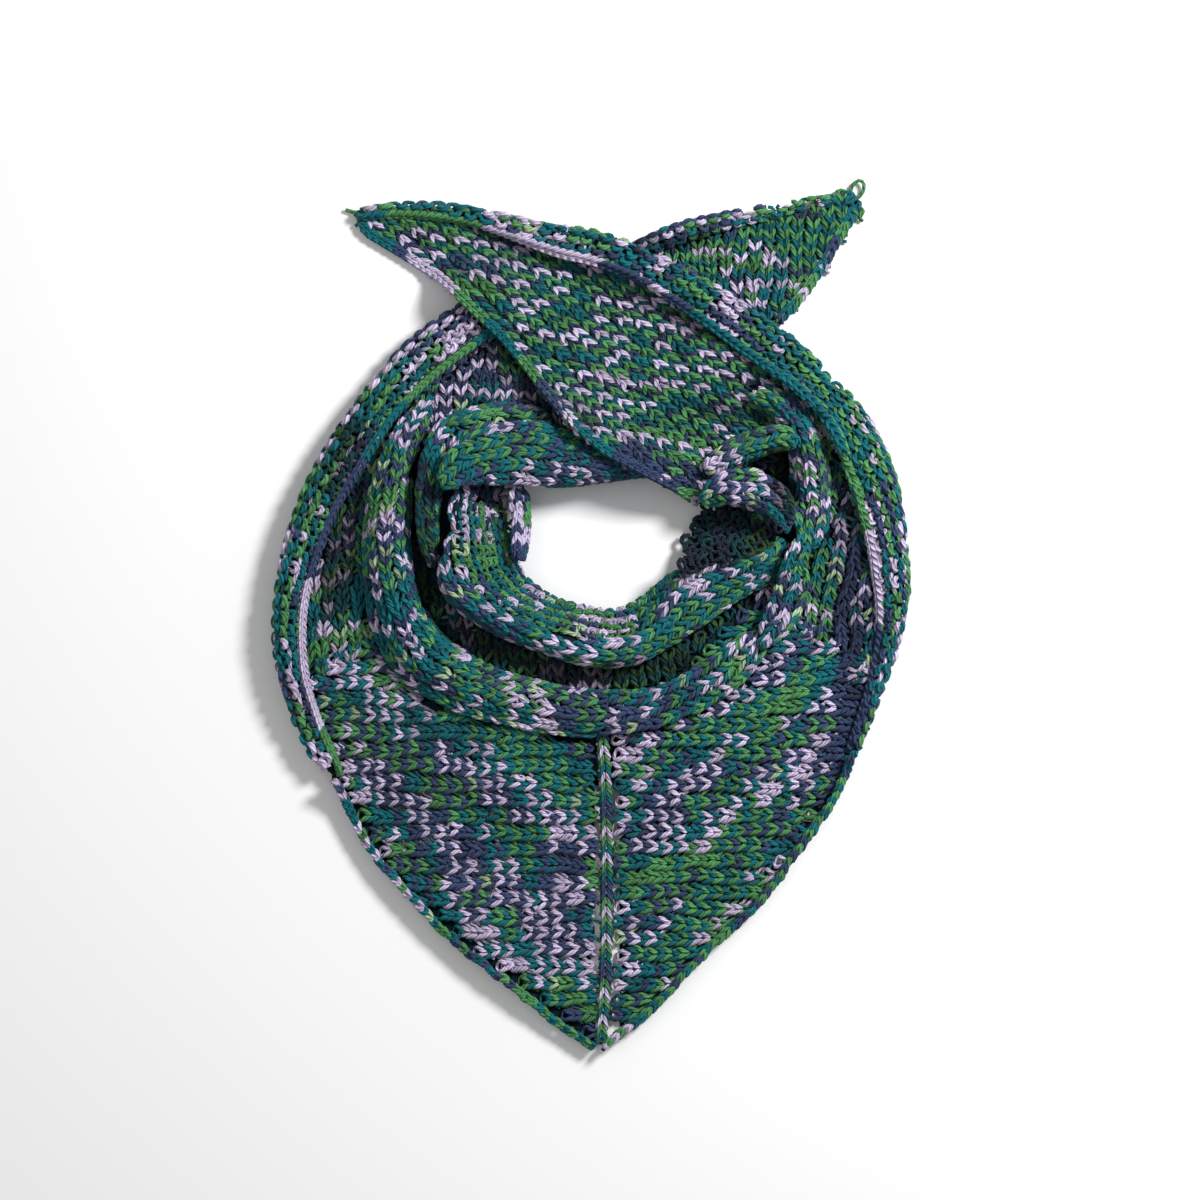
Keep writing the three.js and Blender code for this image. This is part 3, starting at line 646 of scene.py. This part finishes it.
# the yarn changes dye every few stitches, so that courses beside each other nearly line up
def chartDyes(knit):
    rng = random.Random(knit["seed"])
    reach = dyeing["halfChart"]
    edges = {}
    for kind in ("light", "dark"):
        edges[kind] = [-reach]
        while edges[kind][-1] < reach:
            edges[kind].append(edges[kind][-1] + rng.uniform(*knit["run"]))
    slide = {"light": 0.0, "dark": 0.0}
    chart = {}
    for course in range(-dyeing["halfCourses"], dyeing["halfCourses"] + 1):
        for kind in slide:
            slide[kind] += rng.uniform(*knit["drift"])
        doubled = rng.random() < knit["doubled"]
        first, length, every = (rng.uniform(*dyeing["doubles"][k]) for k in ("first", "length", "every"))
        extra = rng.choice((lavender, lavender, green)) if course % 2 else rng.choice((navy, teal))
        chart[course] = (dict(slide), (first, length, every, extra) if doubled else None)

    def dyeAt(course, number, x, y):
        kind = "dark" if course % 2 else "light"
        blur = rng.uniform(-dyeing["poolBlur"], dyeing["poolBlur"])
        for *line, light, dark in pools:
            if inPool(line, x + blur, y + blur) and rng.random() < dyeing["poolShare"]:
                return dark if course % 2 else light
        slid, double = chart[course]
        if double:
            first, length, every, extra = double
            if (number + first) % every < length:
                return extra
        at = number + slid[kind] + rng.uniform(-dyeing["runBlur"], dyeing["runBlur"])
        index = bisect.bisect(edges[kind], at)
        if knit["striped"]:
            index = course // 2 + int(at / dyeing["stripe"]) * 3
        elif kind == "light" and at - edges[kind][index - 1] < dyeing["paleWithin"]:
            if rng.random() < dyeing["paleShare"]:
                return "pale"
        dye = dyeing[kind][index % 2]
        return teal if rng.random() < dyeing["tealShare"].get(dye, 0) else dye

    return dyeAt


def stitchColours(places, course, numbers, knit, dyeAt, rng):
    colours = []
    for (x, y), number in zip(places / mm, numbers):
        shade = rng.uniform(*dyeing["shade"]) * knit["shade"]
        if course % 2:
            shade *= knit["dark"]
        # painted shade: a stitch in a hollow has its dye darkened
        for *line, left in paintedShadeHollows:
            if inPool(line, x, y):
                shade *= left
                break
        dye = dyeAt(course, int(number), x, y)
        colours.append([c * shade for c in dyes[knit["swap"].get(dye, dye)]])
    return np.array(colours)


# how the loops lie: lengths in millimetres, the rest in shares of a stitch
laying = {
    "depth": 2.5,
    "chainDepth": 2.2,
    "wander": 0.8,
    "sizes": 0.12,
    "lifts": 0.08,
    "plumpness": (0.93, 1.08),
    "offTable": 0.1,
    "inset": 1.2,
    "liftOnEdge": 0.45,
    "sideTrim": 0.3,
    "endTrim": {"plain": (0.6, 0.4), "purl": (0.2, 0.2)},
    "lookOut": 4,
}


# loops never sit quite in line: a slow wander of the rows
def wander(spots, seed):
    u, v = spots[..., 0] / mm, spots[..., 1] / mm
    sideways = np.sin(0.09 * u + 0.13 * v + seed) + 0.6 * np.sin(0.31 * v - 0.12 * u + 2 * seed)
    upways = np.sin(0.11 * v - 0.08 * u + 3 * seed) + 0.6 * np.sin(0.27 * u + 0.19 * v + seed)
    return np.stack([sideways, upways], axis=-1) * laying["wander"] * mm


def offTheTable(points):
    points[:, 2] = np.maximum(points[:, 2], (yarn["radius"] + laying["offTable"]) * mm)
    return points


# which loops of a row show: those on sound cloth that no other solid covers
def shownLoops(surface, spots, knit, lean, wale, hides):
    centre, out, sound = onSurface(surface, spots)
    keep = sound.copy()
    if knit["trim"]:
        side = laying["sideTrim"]
        head, foot = laying["endTrim"][knit["face"]]
        for away in (side * lean, -side * lean, head * wale, -foot * wale):
            keep &= onSurface(surface, spots + away)[2]
    for n in np.flatnonzero(keep):
        x, y = centre[n, :2] / mm
        if (knit["within"] and not knit["within"](*spots[n] / mm, x, y)) or inEyelet(x, y):
            keep[n] = False
            continue
        start = Vector(centre[n] + out[n] * 0.3 * mm)
        above = hides.ray_cast(start, up, knit["clear"] * mm)[0]
        ahead = hides.ray_cast(start, Vector(out[n]), min(laying["lookOut"], knit["clear"]) * mm)[0]
        keep[n] = above is None and ahead is None
    return centre, keep


# rows of real loops over a surface: course steps along a row, wale up to the next, lean across a loop
def knitOver(surface, knit, hides):
    course, wale, origin, lean = (np.array(knit[k], float) * mm for k in ("course", "wale", "origin", "lean"))
    span = np.array(surface["points"].shape[:2]) * surface["step"]
    corners = np.array([(a, b) for a in (0, span[0]) for b in (0, span[1])]) + surface["start"] - origin
    counts = np.linalg.solve(np.stack([course, wale], 1), corners.T).T
    low, high = np.floor(counts.min(0)).astype(int) - 1, np.ceil(counts.max(0)).astype(int) + 1
    numbers = np.arange(low[0], high[0] + 1)
    rng = np.random.default_rng(knit["seed"])
    shadeRng = random.Random(knit["seed"])
    dyeAt = chartDyes(knit)
    loop = loopShapes[knit["face"]] * (knit["tight"], 1, 1, knit["fat"])
    strands = []
    for row in range(low[1], high[1] + 1):
        base = origin + numbers[:, None] * course + row * wale
        centre, keep = shownLoops(surface, base + wale, knit, lean, wale, hides)
        edges = np.flatnonzero(np.diff(np.concatenate([[0], keep.astype(int), [0]])))
        for first, last in edges.reshape(-1, 2):
            shown = np.arange(first, last)
            shift = rng.normal(0, knit["uneven"], (len(shown), 1, 2))
            size = 1 + rng.normal(0, laying["sizes"], (len(shown), 1, 1))
            shape = np.repeat(loop[None], len(shown), 0)
            spots = base[shown, None] + shape[..., :1] * size * lean + shape[..., 1:2] * wale
            spots[:, 0] = base[shown] + loop[0, 0] * course + loop[0, 1] * wale
            spots = spots + shift[..., :1] * lean + shift[..., 1:] * wale
            end = base[shown[-1]] - loop[0, 0] * course + loop[0, 1] * wale
            spots = np.concatenate([spots.reshape(-1, 2), end[None]])
            spots = spots + wander(spots, knit["seed"])
            if "feet" in surface:
                spots = drawnIn(surface, spots, laying["inset"] * mm)
            lift = shape[..., 2] * (1 + rng.normal(0, laying["lifts"], (len(shown), 1)))
            lift = np.concatenate([lift.ravel(), loop[:1, 2]]) * (laying["depth"] * mm)
            place, normal, _ = onSurface(surface, spots)
            normal = unit(normal)
            onEdge = laying["liftOnEdge"]  # loops lie flatter where the cloth stands on edge
            lift *= onEdge + (1 - onEdge) * np.abs(normal[:, 2])
            laid = offTheTable(place + normal * lift[:, None])
            dye = stitchColours(centre[shown][:, :2], row, numbers[shown], knit, dyeAt, shadeRng)
            dye = np.repeat(dye, len(loop), 0)
            fat = shape[..., 3] * rng.uniform(*laying["plumpness"], (len(shown), 1)) * knit["bands"][row % 2]
            fat = np.concatenate([fat.ravel(), loop[:1, 3]])
            strands.append((laid, np.concatenate([dye, dye[-1:]]), fat))
    return strands


# a chain of loops along a path on the cloth, as an edge or a middle column shows
def chainOver(surface, chain):
    path = np.array(chain["path"], float) * mm
    run = runOf(path)
    rng = random.Random(chain["seed"])
    order = []
    for words in chain["dyes"].split(", "):
        count, dye = words.split()
        order += [dye] * int(count)

    def pathAt(at):
        return np.array([np.interp(at, run, path[:, c]) for c in (0, 1)])

    loop = loopShapes["plain"]
    strands = []
    for k in range(int(run[-1] / (chain["pitch"] * mm))):
        shade = rng.uniform(*dyeing["chainShade"])
        dye = [c * shade for c in dyes[order[k % len(order)]]]
        spots = []
        for across, along in loop[:, :2]:
            at = np.clip((k + along) * chain["pitch"] * mm, 0, run[-1])
            ahead = unit(pathAt(min(at + mm, run[-1])) - pathAt(max(at - mm, 0)))
            spots.append(pathAt(at) + np.array([-ahead[1], ahead[0]]) * across * chain["width"] * mm)
        place, normal, _ = onSurface(surface, np.array(spots))
        lift = loop[:, 2:3] * laying["chainDepth"] + chain["rise"]
        laid = offTheTable(place + unit(normal) * lift * mm)
        strands.append((laid, np.repeat([dye], len(loop), 0), loop[:, 3] * chain["fat"]))
    return strands


# the cloth behind the loops, coloured near black: painted shade for the gaps between them
shell = {"inset": 2.2, "offTable": 0.6, "aroundEyelet": 1}


def shellOver(stretch, surface):
    points = surface["points"] - surface["out"] * shell["inset"] * mm
    points[..., 2] = np.maximum(points[..., 2], shell["offTable"] * mm)
    sound = surface["sound"]
    for _ in range(stretch["spread"]):  # a cell wider all round
        wide = np.pad(sound, 1)
        sound = wide[:-2, 1:-1] | wide[2:, 1:-1] | wide[1:-1, :-2] | wide[1:-1, 2:] | sound
    rows, columns = sound.shape
    full = sound[:-1, :-1] & sound[1:, :-1] & sound[:-1, 1:] & sound[1:, 1:]
    number = np.arange(rows * columns).reshape(rows, columns)
    faces = []
    for i, k in zip(*np.nonzero(full)):
        x, y = points[i, k, :2] / mm
        if (stretch["open"] and stretch["open"](x, y)) or inEyelet(x, y, shell["aroundEyelet"]):
            continue
        faces.append((number[i, k], number[i + 1, k], number[i + 1, k + 1], number[i, k + 1]))
    spots, out = points.reshape(-1, 3), surface["out"].reshape(-1, 3)
    if stretch["turnedUp"]:  # the cloth comes up off the table to the outer foot of the edge
        foot = sound.argmax(1)
        hem = points[np.arange(rows), foot]
        hem[:, 2] = shell["offTable"] * mm
        spots = np.concatenate([spots, hem])
        out = np.concatenate([out, surface["out"][np.arange(rows), foot]])
        for i in range(rows - 1):
            low = rows * columns + i
            faces.append((low, low + 1, number[i + 1, foot[i + 1]], number[i, foot[i]]))
    used = np.unique(np.array(faces))
    new = np.full(len(spots), -1)
    new[used] = np.arange(len(used))
    mesh = bpy.data.meshes.new(stretch["name"])
    mesh.from_pydata(spots[used].tolist(), [], [tuple(int(new[v]) for v in f) for f in faces])
    mesh.update()
    normals = np.array([p.normal[:] for p in mesh.polygons])
    if (normals * out[[f[0] for f in faces]]).sum() < 0:
        mesh.flip_normals()
    for polygon in mesh.polygons:
        polygon.use_smooth = True
    mesh.materials.append(paintedShadeCloth)
    piece = addPiece(stretch["name"], mesh)
    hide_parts(stretch["node"])
    return piece


leastShown = 0.3001  # of a cut

# what a stretch of cloth takes where its own settings say nothing
plainStretch = {
    "held": "folded", "rests_on": ["gathered_layers"], "spread": 0, "open": None, "turnedUp": False,
    "ease": probe["panelEase"],
}


# one stretch of cloth and its yarn, with rows round a fold, without them laid over a panel;
# flat is the cut that shows, length and width
def makeStretch(own):
    node = own["node"]
    stretch = {**plainStretch, "name": node + "_cloth", **own}
    surface = foldSurface(node, stretch["rows"]) if "rows" in stretch else panelSurface(node, stretch["ease"])
    hides = treeOf(*[n for n in sorted(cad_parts) if n != node])
    cloth = shellOver(stretch, surface)
    yarns = []
    for k, knit in enumerate(stretch["knits"]):
        if "path" in knit:
            strands = chainOver(surface, {**plainChain, **knit})
        else:
            strands = knitOver(surface, {**plainKnit, "lean": knit["course"], **knit}, hides)
        yarns.append(sweepYarn(f"{stretch['name']}_yarn{k}", strands))
    faces = sum(len(y.data.polygons) * 2 for y in yarns)
    area = sum(p.area for p in cloth.data.polygons)
    length, width = stretch["flat"]
    cut = length * width / 1e6
    print(f"shawl: {stretch['name']}, {faces} yarn triangles, cloth {area:.4f} m2 of {cut:.4f}")
    area = max(min(area, cut), leastShown * cut)


# the cloth of the point opens in lace left of the middle column, and a little beside it
def lacy(x, y):
    edge = np.interp(y, [-259, -217, -169, -121, -97], [4, -53, -107, -142, -154])
    spots = math.sin(0.31 * x + 0.2 * y) * math.sin(0.23 * y - 0.11 * x)
    return y < -70 and (abs(x - 9) < 7 or (edge + 11 < x < 0 and spots > 0.05))


def inLeftValley(x, y):
    return x < -96 and y > -34 + 0.55 * (x + 160)


def inRightValley(x, y):
    return x > 96 and y > -30 - 0.55 * (x - 160)


# the point in front: two halves that meet at the middle column, and the valleys beside the ring
makeStretch({
    "name": "front_point", "node": "front_panel", "slot": "cloth_teal", "flat": (370, 330), "held": "laid",
    "spread": 1, "open": lacy,
    "knits": [
        {"drift": (-0.25, 0.95), "course": (8.6, -10.0), "wale": (-4.5, 0), "lean": (-2.6, -10), "tight": 0.9,
         "seed": 3, "trim": True,
         "within": lambda u, v, x, y: x < (0.5 if y < -62 else 3) and not inLeftValley(x, y - 4)},
        {"origin": (20, 0), "drift": (-1.2, 0.05), "course": (-7.6, -9.2), "wale": (-4.5, 0),
         "lean": (-2.0, -9.2), "seed": 8, "slot": "cloth_green", "trim": True,
         "within": lambda u, v, x, y: x > (15.2 if y < -62 else 13) and not inRightValley(x, y - 4)},
        {"path": [(6, -60), (8.5, -90), (9.4, -150), (9, -200), (7.2, -240), (5.8, -256)],
         "pitch": 5.4, "width": 8.6, "fat": 0.84, "seed": 5, "slot": "cloth_navy",
         "dyes": "2 navy, 1 green, 1 lavender, 1 green, 1 teal, 1 lavender, 1 green, 1 teal"},
        # the valleys beside the ring: dyes darkened as painted shade
        {"origin": (-140, 0), "course": (9.4, 4.2), "wale": (0.5, 4.7), "lean": (9.4, 1), "run": (1.5, 4),
         "uneven": 0.1, "shade": 0.8, "clear": 1.5, "seed": 4,
         "within": lambda u, v, x, y: inLeftValley(x, y)},
        {"origin": (140, 0), "course": (9.2, -4), "wale": (-0.9, -4.6), "lean": (9.2, -1), "run": (1.5, 4),
         "uneven": 0.1, "shade": 0.85, "clear": 1.5, "seed": 9,
         "within": lambda u, v, x, y: inRightValley(x, y)},
    ],
})

makeStretch({
    "node": "over_tail", "slot": "cloth_green", "flat": (340, 110), "rests_on": ["under_tail"],
    "knits": [
        {"origin": (0, 150), "course": (12.6, -2.2), "wale": (2.9, -3.15), "lean": (9.4, 1.6),
         "bands": (1.14, 0.9), "shade": 0.9, "dark": 0.74, "striped": True, "doubled": 0.12, "seed": 12,
         "trim": True},
        {"path": [(-139, 236), (-132, 229), (-112, 217), (-92, 204), (-72, 185), (-53, 167), (-37, 148),
                  (-24, 130), (-9, 113), (9, 98), (30, 87), (50, 77), (64, 68)],
         "pitch": 4.8, "width": 6.4, "rise": 0.4, "seed": 59,
         "dyes": ("5 teal, 2 navy, 8 lavender, 5 green, 6 teal, 4 green, 5 navy, 2 lavender, 6 teal, "
                  "9 navy, 2 green, 2 lavender, 30 navy")},
    ],
})

makeStretch({
    "node": "under_tail", "slot": "cloth_green", "flat": (340, 110), "held": "laid", "rests_on": [],
    "knits": [
        {"origin": (0, 150), "course": (8.4, -0.6), "wale": (0.3, 4.1), "lean": (8.8, -0.6),
         "bands": (1.06, 0.94), "shade": 0.88, "dark": 0.85, "seed": 14, "trim": True},
        {"path": [(158, 247), (155, 238), (148, 227), (139, 211), (127, 193), (112, 177)],
         "pitch": 5.2, "width": 7.5, "rise": 0.4, "seed": 60,
         "dyes": ("2 teal, 2 green, 3 navy, 2 teal, 2 green, 1 lavender, 1 green, 2 teal, 1 navy, "
                  "2 lavender, 1 green")},
    ],
})

# from here on each of the rows is innerX, innerY, outerX, outerY, the two feet of a fold in plan
makeStretch({
    "name": "left_edge", "node": "left_rolled_edge", "slot": "cloth_green", "flat": (330, 30),
    "rows": [
        (-40, 178, -55, 200), (-53, 168, -69, 192), (-68, 156, -86, 182), (-87, 142, -108, 166),
        (-107, 126, -130, 142), (-125, 103, -149, 118), (-140, 79, -164, 94), (-152, 59, -176, 68),
        (-161, 36, -184, 43), (-169, 12, -189, 16), (-171, -11, -191, -11), (-170, -36, -187, -36),
        (-164, -58, -179, -60), (-156, -77, -169, -82), (-147, -94, -157, -101),
    ],
    "knits": [
        {"course": (9.2, 0), "wale": (0, 5.2), "face": "purl", "fat": 1.1, "run": (2, 5), "seed": 31,
         "trim": True},
        {"path": [(2, 9), (60, 10.5), (150, 11), (250, 9.5), (300, 8), (345, 6)],
         "pitch": 4.8, "width": 5.6, "rise": 1.6, "seed": 57,
         "dyes": "6 teal, 12 green, 9 teal, 17 navy, 20 lavender, 8 green"},
    ],
})

makeStretch({
    "name": "right_edge", "node": "right_rolled_edge", "slot": "cloth_teal", "flat": (520, 26),
    "rows": [
        (-138, 238, -143, 245), (-113, 241, -115, 248), (-89, 239, -87, 248), (-67, 235, -62, 243),
        (-43, 225, -35, 237), (-19, 215, -8, 232), (5, 209, 19, 225), (31, 199, 46, 213),
        (56, 182, 73, 199), (82, 162, 100, 182), (106, 143, 125, 164), (127, 122, 148, 142),
        (143, 95, 165, 120), (154, 68, 178, 95), (163, 43, 186, 67), (169, 22, 190, 35), (172, 2, 190, 10),
        (172, -16, 185, -13), (167, -40, 178, -37), (161, -60, 169, -60), (154, -80, 161, -80),
    ],
    "knits": [
        {"course": (8.8, 0), "wale": (0, 5.0), "face": "purl", "fat": 1.08, "run": (2, 5), "seed": 37,
         "trim": True},
        {"path": [(0, 3), (40, 5), (110, 8), (200, 10), (300, 12), (420, 12), (470, 9), (540, 6)],
         "pitch": 4.8, "width": 5.8, "rise": 1.6, "seed": 58, "slot": "cloth_lavender",
         "dyes": ("3 teal, 13 green, 16 lavender, 7 navy, 2 lavender, 4 navy, 26 teal, 10 green, "
                  "13 lavender, 30 navy")},
    ],
})

makeStretch({
    "name": "tail_edge", "node": "under_tail_rolled_edge", "slot": "cloth_lavender", "flat": (150, 12),
    "rests_on": ["under_tail"],
    "rows": [
        (13, 210, 8, 218), (29, 214, 25, 224), (46, 221, 43, 232), (65, 227, 62, 238), (86, 233, 83, 242),
        (107, 238, 106, 246), (128, 244, 127, 250), (141, 247, 140, 252), (149, 250, 148, 254),
    ],
    "knits": [{"course": (7.4, 0), "wale": (0, 4.4), "face": "purl", "seed": 41}],
})

# the loops of this fold lean over to the other side at its middle
makeStretch({
    "node": "front_fold", "slot": "cloth_navy", "flat": (380, 45),
    "rows": [
        (-91, 130, -98, 132), (-98, 110, -115, 115), (-104, 89, -126, 94), (-106, 67, -134, 70),
        (-106, 40, -137, 43), (-102, 16, -136, 16), (-94, -2, -131, -10), (-81, -16, -121, -31),
        (-65, -25, -103, -46), (-50, -32, -79, -58), (-32, -37, -53, -65), (-9, -42, -23, -71),
        (14, -43, 7, -73), (37, -41, 38, -68), (59, -31, 67, -56), (79, -18, 91, -40), (97, -2, 110, -20),
    ],
    "knits": [
        {"course": (-6.5, 9.4), "wale": (-4.7, 0), "lean": (-1, 9.4), "run": (1.2, 3.6), "uneven": 0.1,
         "seed": 21, "within": lambda u, v, x, y: x < 4 or y > 20},
        {"course": (6.5, 9.4), "wale": (-4.7, 0), "lean": (1, 9.4), "run": (1.2, 3.6), "uneven": 0.1,
         "seed": 22, "within": lambda u, v, x, y: x >= 5 and y < 20},
    ],
})

makeStretch({
    "node": "inner_fold", "slot": "cloth_navy", "flat": (170, 35),
    "rows": [
        (-19, 106, -28, 130), (-43, 100, -55, 128), (-67, 92, -79, 124), (-80, 83, -95, 112),
        (-86, 70, -102, 92), (-88, 55, -104, 71), (-88, 40, -103, 49), (-86, 25, -98, 28),
    ],
    "knits": [{"course": (-5, 9.2), "wale": (-4.6, 0), "lean": (0, 9.2), "run": (1.2, 3.6), "uneven": 0.1,
               "seed": 23}],
})


# how far out on the collar the purl side shows at x
def plainSideEnds(x):
    return 60 if x > 30 else float(np.interp(x, [-90, -60, -20, 25], [-12, -11, -5, 0.5]))


makeStretch({
    "node": "collar", "slot": "cloth_teal", "flat": (330, 55),
    "rows": [
        (-47, 83, -73, 106), (-53, 74, -86, 90), (-52, 62, -93, 71), (-47, 49, -96, 52), (-42, 35, -96, 32),
        (-35, 23, -90, 14), (-26, 16, -75, 0), (-15, 10, -53, -13), (-2, 7, -27, -23), (11, 5, -1, -31),
        (24, 8, 25, -31), (33, 14, 46, -23), (41, 22, 64, -12), (52, 27, 79, 0), (68, 32, 92, 10),
        (85, 37, 106, 18), (100, 42, 118, 28), (112, 48, 125, 38),
    ],
    "knits": [
        {"origin": (0, -3), "course": (4, 8.6), "wale": (-4.8, 0), "lean": (0, 8.6), "run": (1.5, 4),
         "seed": 25, "within": lambda u, v, x, y: v < plainSideEnds(x)},
        {"origin": (0, 5.5), "course": (8.4, 0), "wale": (0, 4.5), "face": "purl", "fat": 1.14, "run": (2, 5),
         "shade": 0.9, "seed": 27, "within": lambda u, v, x, y: plainSideEnds(x) + 2.5 <= v < 40},
    ],
})

makeStretch({
    "node": "collar_top", "slot": "cloth_navy", "flat": (150, 50), "rests_on": ["collar"],
    "rows": [
        (46, 82, 50, 91), (32, 84, 35, 94), (16, 82, 19, 98), (-4, 79, -1, 106), (-25, 77, -20, 114),
        (-46, 76, -41, 118), (-64, 77, -62, 113), (-77, 76, -82, 101), (-85, 70, -93, 85),
    ],
    "knits": [{"course": (-5, 8.4), "wale": (4.3, 0), "lean": (0, 8.4), "run": (1.5, 4), "seed": 29}],
})

makeStretch({
    "node": "right_fold", "slot": "cloth_green", "flat": (190, 32),
    "rows": [
        (86, 130, 107, 142), (104, 119, 125, 128), (115, 104, 136, 110), (119, 88, 141, 90),
        (118, 67, 143, 68), (115, 46, 141, 43), (110, 25, 133, 17), (103, 3, 119, -8), (94, -16, 101, -25),
    ],
    "knits": [
        {"course": (-4, 8.8), "wale": (4.5, 0), "lean": (0, 8.8), "run": (1.5, 4), "uneven": 0.1, "seed": 33},
    ],
})

makeStretch({
    "node": "collar_twist", "slot": "cloth_lavender", "flat": (60, 25), "rests_on": ["over_tail"],
    "rows": [
        (69, 82, 65, 92), (79, 85, 75, 101), (91, 90, 88, 108), (103, 95, 103, 113), (113, 98, 116, 113),
        (121, 98, 125, 108),
    ],
    "knits": [{"course": (0, 8.6), "wale": (4.4, 0), "seed": 35}],
})

makeStretch({
    "node": "collar_tuck", "slot": "cloth_teal", "flat": (70, 33), "rests_on": ["collar"],
    "rows": [
        (65, 62, 64, 79), (75, 65, 75, 85), (88, 66, 88, 89), (100, 61, 103, 88), (110, 54, 116, 78),
        (115, 45, 124, 62),
    ],
    "knits": [{"course": (0, 8.6), "wale": (-4.6, 0), "seed": 39}],
})

makeStretch({
    "node": "inner_flap", "slot": "cloth_lavender", "flat": (45, 20), "rests_on": ["collar"],
    "rows": [
        (-30, 77, -55, 79), (-33, 67, -50, 68), (-37, 53, -47, 55), (-38, 41, -47, 41), (-40, 32, -46, 34),
    ],
    "knits": [
        {"course": (7.6, 0), "wale": (0, 4.2), "face": "purl", "fat": 1.14, "shade": 0.9, "seed": 43},
        {"path": [(2, -4), (24, -3), (44, -2)], "pitch": 5.2, "width": 6.4, "rise": 1.2, "seed": 61,
         "dyes": "1 navy, 3 lavender, 1 navy, 1 lavender, 8 navy"},
        {"path": [(2, 5), (24, 4), (44, 3)], "pitch": 5.2, "width": 6, "rise": 0.8, "seed": 62,
         "dyes": "1 navy, 3 green, 2 lavender, 6 navy"},
    ],
})


# the purl lining between the collar and the flap, its dyes halved as painted shade
def besideFlap(x, y):
    return -68 < x < -46.5 and 44 < y < 82


makeStretch({
    "name": "collar_lining_cloth", "node": "collar", "slot": "cloth_teal", "flat": (40, 24), "ease": 2,
    "open": lambda x, y: not besideFlap(x, y),
    "knits": [
        {"course": (1.5, 8.2), "wale": (-4.3, 0.4), "face": "purl", "fat": 1.1, "shade": 0.5, "seed": 63,
         "within": lambda u, v, x, y: besideFlap(x, y)},
    ],
})

# the turning at the neck lies in shadow: its dyes are darkened to a third and its light dyes swapped for dark
# ones, as painted shade
makeStretch({
    "node": "neck_turning", "slot": "cloth_shadow_teal", "flat": (70, 45), "rests_on": ["collar"],
    "knits": [
        {"origin": (60, 40), "course": (7.6, 3.6), "wale": (-1.6, 4.2), "face": "purl", "shade": 0.3,
         "swap": {lavender: navy, "pale": green}, "seed": 45, "trim": True},
    ],
})

# the gathered layers beneath lie in shadow: their dyes are darkened to about a third and pale swapped for
# green, as painted shade
makeStretch({
    "name": "gathered_cloth", "node": "gathered_layers", "slot": "cloth_shadow_teal", "flat": (300, 260),
    "held": "gathered", "rests_on": [],
    "knits": [
        {"course": (9.2, 0), "wale": (0, 4.6), "clear": 60, "shade": 0.35, "swap": {"pale": green},
         "seed": 47},
    ],
})


# the two feet of a narrow edge, half to each side of its path
def cordRows(path, half=2.8):
    rows = []
    for k, (x, y) in enumerate(path):
        ahead = np.array(path[min(k + 1, len(path) - 1)]) - np.array(path[max(k - 1, 0)])
        side = np.array([-ahead[1], ahead[0]]) / np.linalg.norm(ahead) * half
        rows.append((x + side[0], y + side[1], x - side[0], y - side[1]))
    return rows


# the bound-off cords down both sides of the point
for side, slot, seed, path in (
    ("left", "cloth_navy", 51, [
        (-154, -97), (-142, -121), (-127, -145), (-107, -169), (-82, -193), (-53, -217), (-22, -241),
        (4, -259),
    ]),
    ("right", "cloth_lavender", 53, [
        (7, -258), (29, -241), (53, -217), (77, -193), (102, -169), (121, -145), (137, -121), (151, -97),
        (158, -80),
    ]),
):
    makeStretch({
        "name": side + "_cord", "node": side + "_front_edge", "slot": slot, "flat": (230, 12), "held": "laid",
        "rests_on": [], "turnedUp": True,
        "rows": cordRows(path),
        "knits": [{"course": (0, 6.4), "wale": (-4.8, 0), "seed": seed,
                   "within": lambda u, v, x, y: abs(v) < 3.3}],
    })

# the loop of yarn left at the tip of the under tail, and the knot that it comes out of
tipLoop = {
    "centre": (159.6, 255.6), "across": (3.6, 5.6), "turned": -24, "open": (-110, 240),
    "height": 3.0, "rise": 1.2, "yarn": 1.15,
    "knot": (154.5, 250.5), "knotSize": 3.4, "knotHeight": 4.6, "knotRise": 1.6, "knotPlump": 1.15,
}


def makeTipLoop():
    turns = np.radians(np.linspace(*tipLoop["open"], 24))
    loop = np.stack([np.cos(turns), np.sin(turns)], 1) * tipLoop["across"]
    turned = math.radians(tipLoop["turned"])
    loop = loop @ np.array([(math.cos(turned), math.sin(turned)), (-math.sin(turned), math.cos(turned))])
    heights = tipLoop["height"] + tipLoop["rise"] * np.sin(turns)
    loop = np.concatenate([loop + tipLoop["centre"], heights[:, None]], 1)
    winds = np.linspace(0, 2 * math.pi * 3, 46)
    size = tipLoop["knotSize"]
    knot = np.stack([
        np.cos(winds) * size * (0.75 + 0.25 * np.cos(winds / 3)),
        np.sin(winds * 2 / 3) * size,
        tipLoop["knotHeight"] + tipLoop["knotRise"] * np.cos(winds / 3 + 1),
    ], 1)
    knot[:, :2] += tipLoop["knot"]
    strands = []
    for points, dye, plump in ((loop, green, 1), (knot, teal, tipLoop["knotPlump"])):
        strands.append((points * mm, np.repeat([dyes[dye]], len(points), 0), np.full(len(points), plump)))
    yarnEnd = sweepYarn("tip_yarn", strands, tipLoop["yarn"])
    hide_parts("tip_loop")
    print("shawl: loop at the tip")


makeTipLoop()
